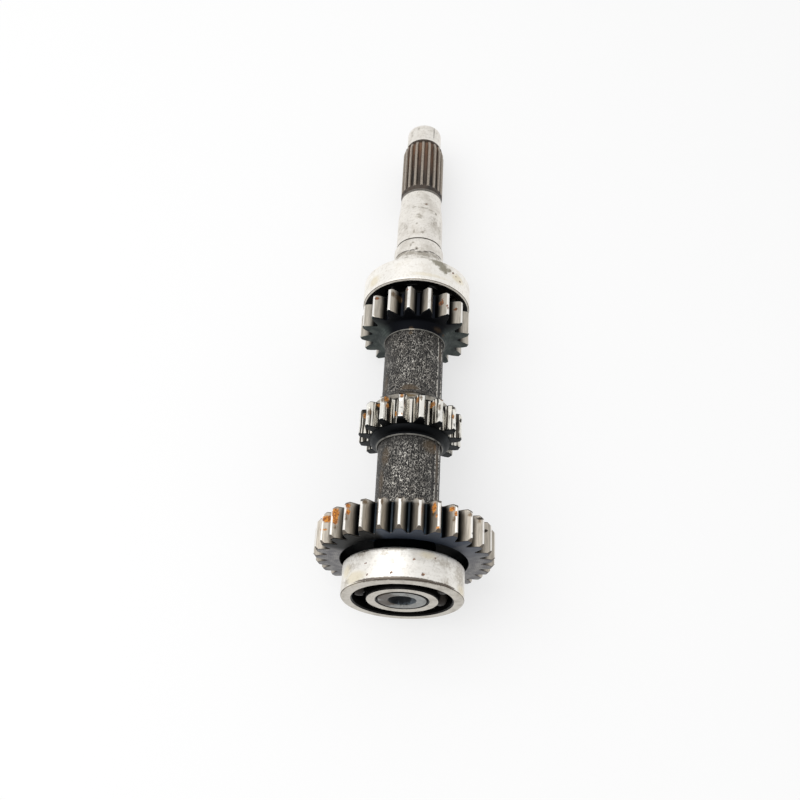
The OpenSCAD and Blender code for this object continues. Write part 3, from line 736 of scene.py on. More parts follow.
def tube(name, start, end, start_r, end_r, seed, spots):
    """Radius = straight taper + rails + pebbles. Pebble height = 1 - distance to the nearest seed, eased,
    and turned down to 0.55 by a broad noise. A rail is exp(-d^2) of the distance from its middle."""
    station = np.arange(start, end + TUBE_STEP, TUBE_STEP)[:, None] + np.zeros((1, TUBE_COLUMNS))
    turn = np.arange(TUBE_COLUMNS)[None, :] * math.tau / TUBE_COLUMNS + np.zeros_like(station)
    radius = start_r + (end_r - start_r) * (station - start) / (end - start)
    cells = round(math.tau * start_r / SCALE_GRAIN)
    u, v = turn / math.tau * cells, station / SCALE_GRAIN
    crown = 1 - nearest_seed(u, v * 0.82, cells, seed)
    coarse = smooth_noise(u / 3, v / 3, cells / 3, seed + 11)
    pebble = rise(crown, 0.25, 0.95) * (0.55 + 0.45 * coarse)
    rail = np.zeros_like(radius)
    between_rails = np.zeros_like(radius)
    for side in (FLASH_ANGLE, FLASH_ANGLE + math.pi):
        off = np.abs(np.angle(np.exp(1j * (turn - side)))) * start_r
        rail = np.maximum(rail, np.exp(-(((off - RAIL_OFF) / RAIL_HALF_W) ** 2)))
        between_rails = np.maximum(between_rails, 1 - rise(off, RAIL_OFF, RAIL_OFF + 2.0))
    radius = radius + RAIL_H * rail + PEBBLE_DEPTH * (pebble - 0.75) * (1 - 0.6 * between_rails)
    # lit is how far the tube faces the light; the painted glints follow it
    lit = rise(np.cos(turn + 0.06), 0.1, 0.92)
    fields = {"glint": 0.006 + 0.043 * lit - 0.05 * between_rails + 0.26 * rail}
    fields.update(all_marks(station, radius, turn, spots))
    zones = np.zeros(len(station), int)
    return skin(name, place(station, radius, turn), zones, fields, [tube_scale], ring=False)


LOW_TUBE_R, LOW_TUBE_END_R, UP_TUBE_R = 16.9, 17.0, 16.6
BIG_END, MID_LIP_START, MID_FAR_COLLAR_END, FAR_COLLAR_START = 37.0, 84.2, 107.0, 150.6
low_tube_spots = {
    "rust": [(81, 50, 5, 2.5, 0.75), (72, 59, 3, 2, 0.6)],
    "stain": [
        (80, 40, 9, 12, 0.95), (70, 58, 30, 4, 0.9), (74, -50, 14, 8, 0.8), (60, -58, 20, 6, 0.75),
        (50, 59, 16, 4, 0.7),
    ],
    # The marks at station 84.5 are a painted shadow under the collar's lip
    "grime_and_shade": [(84.5, 0, 10, 60, 1.1), (84.5, 60, 6, 20, 0.9), (84.5, -60, 6, 20, 0.9), (60, 47, 50, 3, 0.9)],
}
up_tube_spots = {
    "rust": [(111.5, -10, 3.2, 7, 0.75)],
    "stain": [(113, -8, 6, 12, 1.0), (120, -64, 16, 6, 0.7), (140, 60, 16, 5, 0.7), (149, -10, 3, 3, 0.9)],
}
low_tube = tube(
    "lower_forged_tube", BIG_END - 2, MID_LIP_START + 1.2, LOW_TUBE_R, LOW_TUBE_END_R, 3, low_tube_spots
)
up_tube = tube(
    "upper_forged_tube", MID_FAR_COLLAR_END + 4, FAR_COLLAR_START + 1, UP_TUBE_R, UP_TUBE_R, 8, up_tube_spots
)

# %% [markdown]
# ## Gears
# A spur tooth's flank is an involute, the curve that a taut string draws as it unwinds from the base
# circle. The outline gives each point a radius and an angle, with a fillet at the foot and a broken edge
# at the tip. The skin then runs out over the near face, up the bevel, along the teeth and in over the
# far face, and joins the collars on both sides, all on the same columns.

# %% One closed gear outline
PRESSURE_ANGLE = math.radians(20)
FLANK_SHARES = np.array([0.0, 0.03, 0.08, 0.16, 0.3, 0.46, 0.62, 0.78, 0.9, 0.96, 1.0])
EDGE = 0.22
FILLET_SHARE, FILLET_HEIGHT = 0.45, 0.16
TIP_BREAK, TIP_BREAK_FROM = 0.18, 0.955
SECTION_STEP, TOOTH_STEP = 1.6, 0.9
FACE_FOOT = 0.8
HUB_R = 6.0


def involute(pressure):
    """The involute of an angle: its tangent less the angle."""
    return np.tan(pressure) - pressure


def gear_outline(teeth, module, tip_r, depth, land, turn):
    """Radius, angle and height (0 at the gap, 1 at the tip) of the outline's points. Half the tooth's
    angle at radius r is half the land over the tip radius, plus the involute at the tip less that at r."""
    base_r = module * teeth / 2 * math.cos(PRESSURE_ANGLE)
    root_r = tip_r - depth
    pitch = math.tau / teeth
    radius = root_r + depth * FLANK_SHARES
    pressure = np.arccos(np.minimum(1, base_r / radius))
    tip_pressure = math.acos(base_r / tip_r)
    half = land / 2 / tip_r + involute(tip_pressure) - involute(pressure)
    room = pitch / 2 - half[0]
    half = half + FILLET_SHARE * room * (1 - rise(FLANK_SHARES, 0.0, FILLET_HEIGHT))
    half = half - TIP_BREAK / tip_r * rise(FLANK_SHARES, TIP_BREAK_FROM, 1.0)
    rising_flank = [(radius, -half, FLANK_SHARES)]
    top = np.linspace(-half[-1], half[-1], 4)[1:-1]
    land_points = [(np.full(2, tip_r), top, np.ones(2))]
    falling_flank = [(radius[::-1], half[::-1], FLANK_SHARES[::-1])]
    foot = np.linspace(half[0], pitch - half[0], 4)[1:-1]
    gap_points = [(np.full(2, root_r), foot, np.zeros(2))]
    parts = rising_flank + land_points + falling_flank + gap_points
    one = [np.concatenate(part) for part in zip(*parts)]
    tooth_turns = math.radians(turn) + np.arange(teeth)[:, None] * pitch
    return np.tile(one[0], teeth), (one[1][None, :] + tooth_turns).ravel(), np.tile(one[2], teeth)


def inset_outline(radius, angle, amount):
    """The outline moved inwards by an amount, square to its own direction: with points written as complex
    numbers, the inward normal is i times the unit tangent."""
    points = radius * np.exp(1j * angle)
    tangent = np.roll(points, -1) - np.roll(points, 1)
    moved = points + 1j * amount * tangent / np.abs(tangent)
    return np.abs(moved), angle + np.angle(moved * np.exp(-1j * angle))


# %% Gear skin
def gear(name, shape, start, width, bevel, near_section, far_section, materials, spots, oily, wear=None):
    """A closed gear skin. near_section and far_section are plain corners (station, radius, zone) that lead
    out to the near face and in from the far face. Between them the rows carry the outline: the face edge
    set in by EDGE and cut by the bevel cone, the bevel, the tooth and the same at the far end. Zone 0 is
    the teeth and zone 4 the bevels. Each field in oily, which holds painted shade and painted
    sheen by the angle, is the smooth step of the cosine of the angle from a middle angle, on the near face
    and with its own share on the far face."""
    out_r, out_a, height = shape
    columns = len(out_r)
    tip_r = out_r.max()
    bevel_r = tip_r - bevel
    root_r = out_r.min()
    in_r, in_a = inset_outline(out_r, out_a, EDGE)
    cone = np.maximum(0, out_r - bevel_r)
    end = start + width
    rows = []

    def plain(corners):
        station, radius, zone = stepped(corners, SECTION_STEP)
        for s, r, z in zip(station, radius, zone):
            rows.append((np.full(columns, s), np.full(columns, r), out_a, np.zeros(columns), z))

    face_zone, back_zone = near_section[-1][2], far_section[0][2]
    plain(list(near_section) + [(start, root_r - FACE_FOOT, face_zone)])
    rows.append((np.full(columns, start), np.minimum(in_r, bevel_r - EDGE), in_a, height, face_zone))
    rows.append((np.full(columns, start + EDGE), np.minimum(out_r, bevel_r), out_a, height * 0.9, 4))
    first, last = start + 2 * EDGE + cone, end - 2 * EDGE - cone
    steps = max(4, round(width / TOOTH_STEP))
    for k in range(steps + 1):
        share = k / steps
        radius = out_r if wear is None else wear(out_r, height, out_a, share)
        rows.append((first + (last - first) * share, radius, out_a, height, 0))
    rows[-1] = (*rows[-1][:4], 4)
    rows.append((np.full(columns, end - EDGE), np.minimum(out_r, bevel_r), out_a, height * 0.9, 4))
    rows.append((np.full(columns, end), np.minimum(in_r, bevel_r - EDGE), in_a, height, back_zone))
    plain([(end, root_r - FACE_FOOT, back_zone)] + list(far_section))
    station, radius, angle, level, zones = (np.array(part) for part in zip(*rows))
    fields = {"height": level, **all_marks(station, radius, angle, spots)}
    on_near = 1 - rise(station, start + 0.6, start + 1.2)
    on_far = rise(station, end - 0.5, end - 0.3)
    # Painted shade and painted sheen by the angle around the face
    for key, (turn, low, high, far_share) in oily.items():
        painted_layer = (on_near + far_share * on_far) * rise(np.cos(angle - math.radians(turn)), low, high)
        fields[key] = np.maximum(painted_layer, fields.get(key, 0))
    return skin(name, place(station, radius, angle), zones, fields, materials, ring=False)


POLISH_DEPTH, BATTER_DEPTH = 0.16, 0.18


def worn_middle(radius, height, angle, share):
    """A sliding gear's worn teeth: the flanks are polished to POLISH_DEPTH over the middle half, and the
    land is battered by a shallow wave."""
    band = rise(np.array(share), 0.18, 0.26) * (1 - rise(np.array(share), 0.72, 0.82))
    wave = smooth_noise(angle * 40, np.full_like(angle, share * 5), 251, 4)
    polished = radius - POLISH_DEPTH * band * rise(height, 0.3, 0.7)
    return polished - BATTER_DEPTH * (wave - 0.3) * rise(height, 0.9, 1.0)


BIG_START, BIG_W, BIG_BEVEL, BIG_TIP_R = 20.2, 16.8, 1.5, 46.29
RECESS_R, RECESS_FLOOR, RECESS_FILLET, WEB_FILLET = 32.7, 29.2, 3.5, 4.0
NEAR_SHOULDER_R = 16.0
big_shape = gear_outline(teeth=30, module=2.75, tip_r=BIG_TIP_R, depth=7.0, land=1.1, turn=6.0)
recess_corner = corner_arc(RECESS_FLOOR - RECESS_FILLET, RECESS_R - RECESS_FILLET, RECESS_FILLET, 90, 0)
web_corner = corner_arc(BIG_END + WEB_FILLET, LOW_TUBE_R + WEB_FILLET, WEB_FILLET, 270, 180)
big_near = [(RECESS_FLOOR, HUB_R, 2), (RECESS_FLOOR, NEAR_SHOULDER_R, 2)]
big_near += [(s, r, 2) for s, r in recess_corner]
big_near += [(BIG_START + EDGE, RECESS_R, 2), (BIG_START, RECESS_R + EDGE, 1)]
big_far = [(s, r, 3) for s, r in web_corner] + [(BIG_END + WEB_FILLET, HUB_R, 3)]
big_spots = {
    "rust": [
        (33.2, -63.8, 3.8, 3.0, 1.25), (33.2, -52.4, 5.8, 2.0, 1.25), (29.6, -52.2, 5.0, 1.4, 1.2),
        (34.8, -40.8, 3.2, 1.8, 1.0), (31.4, -40.4, 3.6, 1.3, 0.95), (33.2, 15.6, 5.8, 1.5, 1.15),
        (34.4, 27.8, 3.2, 1.7, 1.05), (31.6, 29.4, 3.4, 1.3, 1.0), (27.6, -64.2, 1.6, 1.4, 0.9),
        (30.6, -75, 2.4, 2, 0.9), (22.4, 17.4, 2.0, 2.4, 0.8), (28.6, 16.6, 3.0, 1.2, 0.8),
    ],
    "stain": [
        (34, -17, 4, 1.4, 0.95), (35, -28.6, 3, 2.4, 0.9), (34.5, -5, 3, 1.2, 0.8), (30, 15.4, 3, 1.4, 0.85),
        (34, 41, 3, 2, 0.8), (33, 5, 4, 1.0, 0.75), (26, -52, 4, 1.4, 0.7), (29, 28.6, 4, 1.4, 0.8),
        (34, 52, 4, 1.4, 0.7), (29, -41, 8, 1.4, 0.7),
    ],
    "grime_and_shade": [
        (35.3, 52.4, 1.4, 2.4, 1.05), (32.2, 63.4, 1.8, 1.6, 1.1), (35.2, 40.4, 1.0, 1.4, 0.9),
        (24.4, 42, 1.6, 1.2, 0.8),
    ],
    # Painted bluish glints on the gap floors near the near end
    "painted_blue_glint": [(22.4, 10.6, 4.4, 1.8, 0.9), (22.0, 23.0, 3.4, 2.0, 0.9), (22.4, -0.6, 2.6, 1.0, 0.6)],
    # Patches of painted bluish sheen on the face and the recess wall
    "lit": [(20.2, 48, 8, 44, 0.6), (29, -57, 8, 12, 0.95), (29, 50, 8, 16, 1.0), (29, 12, 5, 14, 0.5)],
}
big_gear = gear(
    "big_gear_skin", big_shape, BIG_START, BIG_W, BIG_BEVEL, big_near, big_far,
    [big_teeth_steel, big_face, recess_face, big_back, bevel_steel], big_spots,
    # Painted shade towards the upper left and a painted bluish sheen at the top
    {"painted_shade": (-35, 0.72, 0.93, 0.0), "lit": (12, 0.8, 0.89, 0.0)},
)

MID_START, MID_W, MID_BEVEL = 88.7, 15.1, 0.7
mid_shape = gear_outline(teeth=16, module=3.15, tip_r=28.3, depth=6.1, land=2.4, turn=-13.3)
mid_near = [
    (85.2, HUB_R, 1), (85.2, 16.9, 1), (84.4, 17.2, 2), (84.2, 17.6, 2), (84.8, 18.2, 1), (85.6, 18.6, 1),
    (85.9, 19.2, 1), (86.2, 20.2, 1), (87.6, 21.6, 1), (88.4, 21.9, 1), (MID_START, 22.0, 1),
]
mid_far = [
    (103.8, 22.2, 1), (104.2, 22.0, 3), (106.7, 22.0, 3), (107.0, 21.8, 2), (107.4, 21.4, 5),
    (112.4, 16.7, 5), (112.4, HUB_R, 5),
]
mid_spots = {
    "rust": [
        (101.8, -31.8, 4.2, 1.7, 1.0), (98.0, -31.0, 4.0, 1.2, 0.92), (101.8, -12.8, 3.6, 2.4, 1.0),
        (94.5, -23.0, 4.0, 1.4, 1.0), (100.3, 4.7, 5.0, 1.2, 0.95), (100.7, 25.4, 4.0, 1.6, 0.95),
        (99.6, -74.5, 3.6, 3.0, 1.05), (102.9, 31.8, 2.0, 2.0, 0.95), (91.0, -11.8, 2.4, 1.4, 0.85),
        (102.2, -49.8, 3.0, 2.6, 0.9), (97, 52, 4, 1.6, 0.8),
    ],
    "stain": [
        (101, -34, 4, 4, 0.9), (101, 8, 5, 2, 0.8), (98, 30, 6, 3, 0.7), (97, -56, 6, 3, 0.75),
        (105.6, -6, 2, 9, 1.0), (108, -8, 3, 12, 0.8),
    ],
    "grime_and_shade": [
        (99, 58, 3, 1.6, 1.0), (94, 62, 3, 2.0, 0.95), (97.5, -72, 2.0, 2.0, 1.0), (102, 52, 2, 2, 0.9),
        (96, 70, 6, 1.4, 0.9), (92, 53, 3, 1.4, 0.9), (100, 74, 3, 1.2, 0.9),
    ],
    "glint": [(111, 0, 9, 50, 0.07)],
}
middle_gear = gear(
    "middle_gear_skin", mid_shape, MID_START, MID_W, MID_BEVEL, mid_near, mid_far,
    [middle_teeth_steel, dark_face, lip_edge, collar_steel, dark_face, tube_scale], mid_spots,
    # Painted shade at the top of the faces
    {"painted_shade": (0, 0.2, 0.8, 1.0)}, worn_middle,
)

FAR_START, FAR_W, FAR_BEVEL = 155.0, 15.7, 0.6
far_shape = gear_outline(teeth=17, module=3.15, tip_r=31.5, depth=7.0, land=1.2, turn=-10.0)
far_near = [
    (151.6, HUB_R, 1), (151.6, 16.5, 1), (150.7, 16.7, 2), (150.6, 17.2, 2), (151.0, 17.5, 1),
    (154.3, 20.0, 1), (154.8, 20.6, 1), (155.0, 21.2, 1),
]
far_far = [(170.7, 19.4, 1), (171.0, 19.0, 1), (far_bearing_start, 19.0, 1), (far_bearing_start, HUB_R, 1)]
far_spots = {
    "rust": [
        (164.0, 27.4, 4.0, 1.8, 1.0), (161.4, 31.3, 2.0, 1.2, 0.95), (166.4, 28.0, 1.6, 1.2, 1.0),
        (168.2, -49.8, 2.2, 2.0, 1.0), (163.2, -61.3, 2.6, 2.2, 1.05), (168.0, -12.0, 2.4, 2.4, 0.75),
        (160, 32, 3, 1.4, 0.75), (165, 49, 2.4, 1.4, 1.0), (152.5, 58, 2, 5, 0.6),
    ],
    "stain": [
        (150.9, -9, 2.4, 3.4, 1.0), (163, 14, 6, 2, 0.7), (166, -24, 5, 3, 0.9), (167, -28, 5, 2, 0.9),
        (153, 40, 3, 9, 0.7),
    ],
}
far_gear = gear(
    "far_gear_skin", far_shape, FAR_START, FAR_W, FAR_BEVEL, far_near, far_far,
    [far_teeth_steel, far_face, lip_edge, far_teeth_steel, far_face], far_spots,
    # Painted shade at the top of the faces
    {"painted_shade": (0, 0.3, 0.85, 1.0)},
)

# %% [markdown]
# ## Near end
# Only the end face and its centre hole show inside the inner ring. The hole is a 60 degree cone that
# held the shaft while it was turned, with a drilled bottom.

# %% Near end of the shaft
NEAR_CENTRE_R, NEAR_DRILL_R, NEAR_DRILL_DEPTH = 7.3, 2.5, 17.0
AXIS_R = 0.02
cone_depth = (NEAR_CENTRE_R - NEAR_DRILL_R) / math.tan(math.radians(30))
near_profile = [
    (NEAR_DRILL_DEPTH + 1.5, AXIS_R, 1), (NEAR_DRILL_DEPTH, NEAR_DRILL_R, 1), (cone_depth, NEAR_DRILL_R, 1),
    (0.25, NEAR_CENTRE_R - 0.1, 0), (0, NEAR_CENTRE_R + 0.25, 0), (0, NEAR_BORE_R - 0.35, 2),
    (0.35, NEAR_BORE_R, 2), (NEAR_BEARING_W, NEAR_BORE_R, 3), (NEAR_BEARING_W, NEAR_SHOULDER_R - 0.3, 3),
    (NEAR_BEARING_W + 0.3, NEAR_SHOULDER_R, 3), (RECESS_FLOOR + 1, NEAR_SHOULDER_R, 3),
    (RECESS_FLOOR + 1, AXIS_R, 3),
]
# The grime marks on the near end are painted shade inside the centre hole
near_stub_spots = {
    "grime_and_shade": [(3, -60, 9, 16, 1.3), (2, -120, 8, 12, 1.2), (4, 10, 9, 6, 1.0), (4, 170, 9, 12, 1.0)],
}
near_stub = lathe(
    "near_end_of_shaft", near_profile, [turned_face, centre_wall, race_oil_and_shade, recess_face], 160, 1.0,
    near_stub_spots,
)

# %% [markdown]
# ## Output end and spline
# The seat, journal, neck, spline and pilot are one turned bar, so they are one skin. The grooves of the
# spline are cut out of its section: each column knows whether it lies on a land or in a groove, and the
# groove's depth eases in at the near end, as the round cutter left it, and out on the lead cone.

# %% Output end
SEAT_R, SEAT_END = 14.7, far_bearing_end + 25.0
JOURNAL_START, JOURNAL_R, GROOVE_W, GROOVE_H = SEAT_END + 2.2, 13.65, 0.8, 0.5
JOURNAL_END, NECK_R = JOURNAL_START + 28.0, 12.5
NECK_START = JOURNAL_END + 4.0
SPLINE_START = NECK_START + 11.5
SPLINE_END = SPLINE_START + 38.0
PILOT_L = 14.49
SHAFT_END, PILOT_R, PILOT_ROUND, FAR_CENTRE_R = SPLINE_END + PILOT_L, 10.7, 2.6, 3.5
SPLINE_TEETH, SPLINE_R, SPLINE_H, SPLINE_TURN = 19, 12.85, 1.7, -4.5
DARK_RING_START, FORK_STATION, RUNOUT, LEAD = 256.0, SPLINE_START - 2.1, 5.0, 6.0
GROOVE_COLUMNS = 18
OUTPUT_STEP = 0.9
WALL_SLOPE = 0.02

output_spots = {
    "rust": [(245.2, 11.3, 1.4, 2.0, 0.9), (259, -9, 4.0, 3.6, 0.7), (254.5, -14, 1.2, 1.0, 0.6)],
    "stain": [
        (207.9, -48, 3.0, 14, 0.9), (206.6, -22, 4.4, 12, 0.8), (206, 0, 4.8, 10, 0.75),
        (206, 16, 4.6, 9, 0.8), (207, 38, 3.6, 14, 0.8), (203, -40, 5, 11, 0.6), (202, 10, 5, 14, 0.6),
        (203, 48, 6, 9, 0.7), (209.6, -8, 2.4, 2.4, 1.0), (212.4, -22.3, 2.6, 1.4, 1.0),
        (214.2, -16.8, 1.4, 2.0, 1.0), (241.6, 4, 0.9, 7, 0.9), (240.6, 26, 0.9, 7, 1.0),
        (240.0, 40.6, 2.2, 2.4, 1.0), (242.7, -20.7, 0.9, 3.4, 0.95), (234.6, -3.8, 4.4, 5.0, 0.7),
        (236.2, -8, 2.0, 3.0, 0.7), (229.6, -10.6, 1.6, 1.6, 0.95), (223.6, -17.2, 4.0, 1.2, 0.95),
        (222.8, 4.4, 1.8, 3.0, 0.95), (224.2, 10, 1.6, 2.4, 0.8), (226.8, -66, 2.6, 3.6, 0.7),
        (245.2, 11.3, 2.4, 3.0, 1.0), (233, 36, 14, 8, 0.5), (228, -40, 12, 6, 0.45),
        (310.0, -23, 1.6, 1.6, 1.0), (308, -50, 8, 5, 0.5), (230, 62, 24, 7, 0.5),
    ],
    "grime_and_shade": [
        (208.9, -60, 0.9, 9, 1.0), (208.6, -38, 0.9, 9, 1.0), (208.4, -18, 1.1, 7, 1.05),
        (207.2, 0, 1.1, 6, 1.0), (207.6, 14, 1.3, 4, 1.0), (208.9, 30, 1.0, 7, 1.0),
        (208.5, 54, 1.0, 8, 1.05), (209.4, -8, 1.2, 1.4, 0.9), (213.2, -20, 1.4, 0.8, 0.7),
        (307.6, 32, 11.0, 0.7, 1.05), (240.0, 40.6, 1.0, 1.2, 0.8), (299.9, 0, 0.9, 60, 0.9),
        (299.9, 90, 0.9, 60, 0.8), (299.9, -90, 0.9, 60, 0.8),
    ],
}


def spline_finish(name):
    """Spline steel: grooves that turn from dark grey at the near end to rust-brown, and taupe lands where
    the stored land field is high."""
    material, tree, shader, where = new_material(name)
    axis_part = node(tree, "SeparateXYZ", {"Vector": where}, out="Y")
    low_end, high_end = (SPLINE_START + 6) * MM, (SPLINE_END - 6) * MM
    towards_end = node(tree, "MapRange", {0: axis_part, 1: low_end, 2: high_end}, **SMOOTH)
    drawn = node(tree, "Mapping", {"Vector": where, "Scale": (1.0, 0.25, 1.0)})
    patch = node(tree, "TexNoise", {"Vector": drawn, "Scale": PER_MM / 3.0, "Detail": 4.0})
    patchy = node(tree, "MapRange", {0: patch, 1: 0.35, 2: 0.7}, **SMOOTH)
    near_groove = node(tree, "Mix", {0: patchy, 6: "#332e2a", 7: "#4d4239"}, **COLOUR)
    far_groove = node(tree, "Mix", {0: patchy, 6: "#473a31", 7: "#735540"}, **COLOUR)
    groove_colour = node(tree, "Mix", {0: towards_end, 6: near_groove, 7: far_groove}, **COLOUR)
    land_colour, fine = patched(tree, where, "#aaa094", "#71665b", 0.7, 0.4, 0.7, 0.6, Detail=3.0)
    land = node(tree, "Attribute", attribute_name="land", out="Fac")
    level = node(tree, "Math", {0: fine, 1: 0.3, 2: land}, **TIMES_PLUS)
    worn = node(tree, "MapRange", {0: level, 1: 0.5, 2: 0.75}, **SMOOTH)
    colour = node(tree, "Mix", {0: worn, 6: groove_colour, 7: land_colour}, **COLOUR)
    metallic = node(tree, "MapRange", {0: worn, 3: 0.35, 4: 0.8})
    rough = node(tree, "MapRange", {0: worn, 3: 0.6, 4: 0.42})
    values = {"Base Color": colour, "Metallic": metallic, "Roughness": rough}
    close_material(tree, shader, values, fine, 0.05, 0.5)
    return material


# Rolled spline: bare lands over grooves with dried brown oil
spline_steel = spline_finish("rolled_spline_steel")


def output_end():
    """Radius = section radius - groove depth * groove share of the column. The groove share is 0 on a
    land, 1 in a groove and eased on the flanks. Depth eases in over the runout and out over the lead."""
    section = [
        (far_bearing_start + 2, AXIS_R, 0), (far_bearing_start + 2, SEAT_R, 0), (SEAT_END, SEAT_R, 0),
        (JOURNAL_START, JOURNAL_R, 0), (JOURNAL_START + WALL_SLOPE, JOURNAL_R - GROOVE_H, 3),
        (JOURNAL_START + GROOVE_W - WALL_SLOPE, JOURNAL_R - GROOVE_H, 3),
        (JOURNAL_START + GROOVE_W, JOURNAL_R, 0),
        (JOURNAL_END - 6, JOURNAL_R, 0), (NECK_START + 2, NECK_R, 0), (DARK_RING_START, NECK_R, 3),
        (FORK_STATION - 1.6, NECK_R + 0.02, 1), (FORK_STATION - 0.2, NECK_R + 0.25, 1),
        (FORK_STATION + 0.6, SPLINE_R, 1), (SPLINE_END - LEAD, SPLINE_R, 1),
        (SPLINE_END - 2.2, PILOT_R + 1.2, 2), (SPLINE_END - 0.6, PILOT_R + 0.8, 2),
        (SPLINE_END, PILOT_R + 0.15, 2), (SPLINE_END + 0.9, PILOT_R, 0),
    ]
    pilot_corner = corner_arc(SHAFT_END - PILOT_ROUND, PILOT_R - PILOT_ROUND, PILOT_ROUND, 0, 90)
    section += [(s, r, 0) for s, r in pilot_corner]
    section += [(SHAFT_END, FAR_CENTRE_R, 0), (SHAFT_END - 6.0, AXIS_R, 3)]
    station, radius, zone = stepped(section, OUTPUT_STEP)
    columns = SPLINE_TEETH * GROOVE_COLUMNS
    local = (np.arange(columns) % GROOVE_COLUMNS) / GROOVE_COLUMNS
    off_land = np.abs((local + 0.5) % 1.0 - 0.5) * 2
    groove = rise(off_land, 0.3, 0.56)
    angle = math.radians(SPLINE_TURN) + np.arange(columns) * math.tau / columns
    fork = FORK_STATION + 1.4 - 2.6 * off_land
    grid_s = np.repeat(station[:, None], columns, 1)
    grid_a = np.repeat(angle[None, :], len(station), 0)
    runs = rise(grid_s, FORK_STATION - 0.4, FORK_STATION + RUNOUT)
    runs = runs * (1 - rise(grid_s, SPLINE_END - 0.3, SPLINE_END))
    root_r = SPLINE_R - SPLINE_H
    floor_r = np.minimum(radius[:, None], root_r)
    grid_r = radius[:, None] + (floor_r - radius[:, None]) * groove[None, :] * runs
    in_spline = 1 - rise(grid_s, SPLINE_END - 0.5, SPLINE_END)
    land = in_spline * rise(grid_s, fork[None, :], fork[None, :] + 0.6) * (1 - groove[None, :])
    fields = {"land": land, **all_marks(grid_s, grid_r, grid_a, output_spots)}
    materials = [seat_steel, spline_steel, oiled_ring, blued_ring]
    return skin("output_end", place(grid_s, grid_r, grid_a), zone, fields, materials, ring=False)


output = output_end()
for piece in (low_tube, up_tube, big_gear, middle_gear, far_gear, near_stub, output):
    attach(piece, "shaft_body")
    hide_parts("shaft")

# %% [markdown]
# ## Floor and light
# The part lies on a plain white surface under broad soft light. The floor shows white to the camera and
# in reflections, and keeps a faint shadow. One large lamp stands above, and a white sky fills in.

# %% Floor
FLOOR_HALF = 3.0
floor_mesh = bpy.data.meshes.new("floor")
floor_corners = [(x * FLOOR_HALF, y * FLOOR_HALF, 0) for x, y in ((-1, -1), (1, -1), (1, 1), (-1, 1))]
floor_mesh.from_pydata(floor_corners, [], [(0, 1, 2, 3)])
floor = add_object("floor", floor_mesh)
floor_material = bpy.data.materials.new("white_table")
floor_material.use_nodes = True
floor_tree = floor_material.node_tree
floor_shader = floor_tree.nodes["Principled BSDF"]
floor_shader.inputs["Base Color"].default_value = linear("#e8e8e8")
floor_shader.inputs["Roughness"].default_value = 0.9
floor_shader.inputs["Specular IOR Level"].default_value = 0.0
WHITE_SHARE = 0.6
glow = node(floor_tree, "Emission", {"Color": "#ffffff", "Strength": 1.0})
to_camera = node(floor_tree, "LightPath", out="Is Camera Ray")
to_mirror = node(floor_tree, "LightPath", out="Is Glossy Ray")
seen = node(floor_tree, "Math", {0: to_camera, 1: to_mirror}, operation="MAXIMUM")
share = node(floor_tree, "Math", {0: seen, 1: WHITE_SHARE}, operation="MULTIPLY")
blend = node(floor_tree, "MixShader", {0: share, 1: floor_shader.outputs[0], 2: glow})
floor_tree.links.new(blend, floor_tree.nodes["Material Output"].inputs["Surface"])
floor_mesh.materials.append(floor_material)

# %% Sky and lamp
world = bpy.data.worlds.new("studio")
bpy.context.scene.world = world
world.use_nodes = True
world_tree = world.node_tree
sky = world_tree.nodes["Background"]
sky.inputs["Color"].default_value = (1.0, 1.0, 1.0, 1.0)
FILL, BACKDROP = 0.8, 0.86
sky_seen = node(world_tree, "LightPath", out="Is Camera Ray")
sky_strength = node(world_tree, "MapRange", {0: sky_seen, 3: FILL, 4: BACKDROP})
world_tree.links.new(sky_strength, sky.inputs["Strength"])

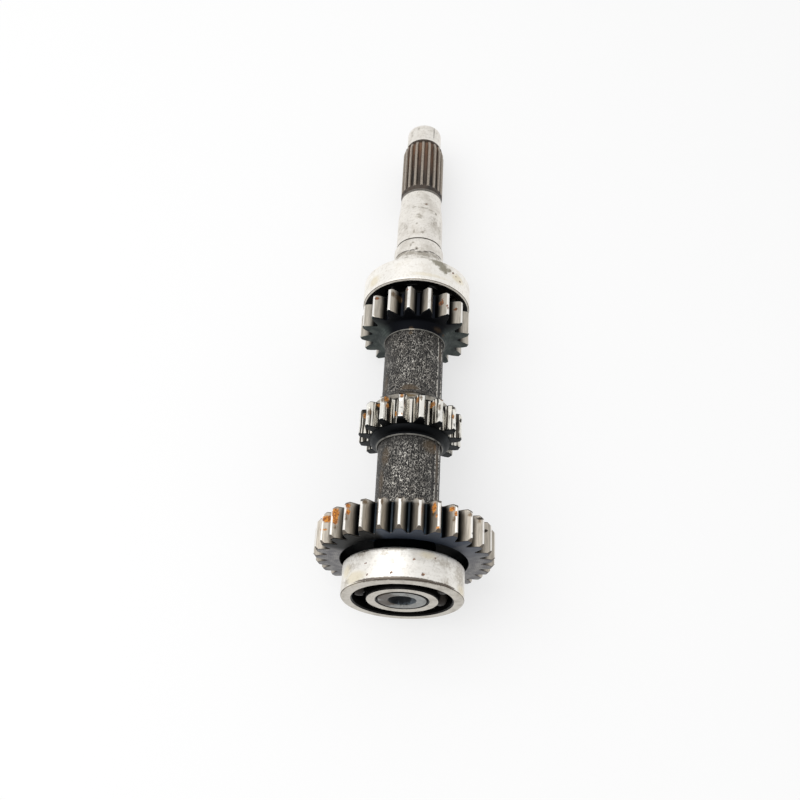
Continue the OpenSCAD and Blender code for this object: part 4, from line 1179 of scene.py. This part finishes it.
# A square area lamp that looks at the middle of the part
LAMP_PLACE, LAMP_SIZE, LAMP_POWER = (-0.55, -0.15, 1.1), 1.2, 9.0
lamp_data = bpy.data.lights.new("key", "AREA")
lamp_data.size = LAMP_SIZE
lamp_data.energy = LAMP_POWER
lamp = add_object("key", lamp_data)
lamp.location = LAMP_PLACE
aim = (near_middle + far_middle) / 2 - np.array(LAMP_PLACE)
lamp.rotation_mode = "QUATERNION"
lamp.rotation_quaternion = Vector(aim).to_track_quat("-Z", "Y")

# %% [markdown]
# ## Camera
# The viewpoint was found by fitting a pinhole camera to the circles and tooth tips of the real shaft. It
# stands about half a metre up and looks down steeply at the near end.

# %% Camera
CAMERA_ALONG, CAMERA_ACROSS, CAMERA_UP = -152.72, -7.0572, 475.746
YAW, PITCH, ROLL = 0.0019, 1.0588, -0.0575
TOOTH_PHASE = math.radians(1.1)
FOCAL_PX, IMAGE_PX, SENSOR = 982.12, 800, 36.0


def to_world(x, s, z):
    """A direction in the fitted frame (x across, s along, z up), turned by the tooth phase, to world."""
    turned_x = x * math.cos(TOOTH_PHASE) - z * math.sin(TOOTH_PHASE)
    turned_z = x * math.sin(TOOTH_PHASE) + z * math.cos(TOOTH_PHASE)
    return turned_x * across + s * along + turned_z * upward


level_forward = np.array([math.sin(YAW), math.cos(YAW), 0.0])
forward = math.cos(PITCH) * level_forward + np.array([0.0, 0.0, -math.sin(PITCH)])
level_right = np.array([math.cos(YAW), -math.sin(YAW), 0.0])
level_down = np.cross(forward, level_right)
right = math.cos(ROLL) * level_right + math.sin(ROLL) * level_down
down = -math.sin(ROLL) * level_right + math.cos(ROLL) * level_down
camera_data = bpy.data.cameras.new("camera")
camera_data.sensor_width = SENSOR
camera_data.lens = FOCAL_PX / IMAGE_PX * SENSOR
camera_data.clip_start, camera_data.clip_end = 0.01, 20.0
camera = add_object("camera", camera_data)
axes = np.stack([to_world(*right), -to_world(*down), -to_world(*forward)], 1)
eye = near_end + MM * to_world(CAMERA_ACROSS, CAMERA_ALONG, CAMERA_UP)
camera.matrix_world = Matrix([[*axes[i], eye[i]] for i in range(3)] + [[0.0, 0.0, 0.0, 1.0]])
bpy.context.scene.camera = camera
bpy.context.scene.view_settings.view_transform = "Standard"
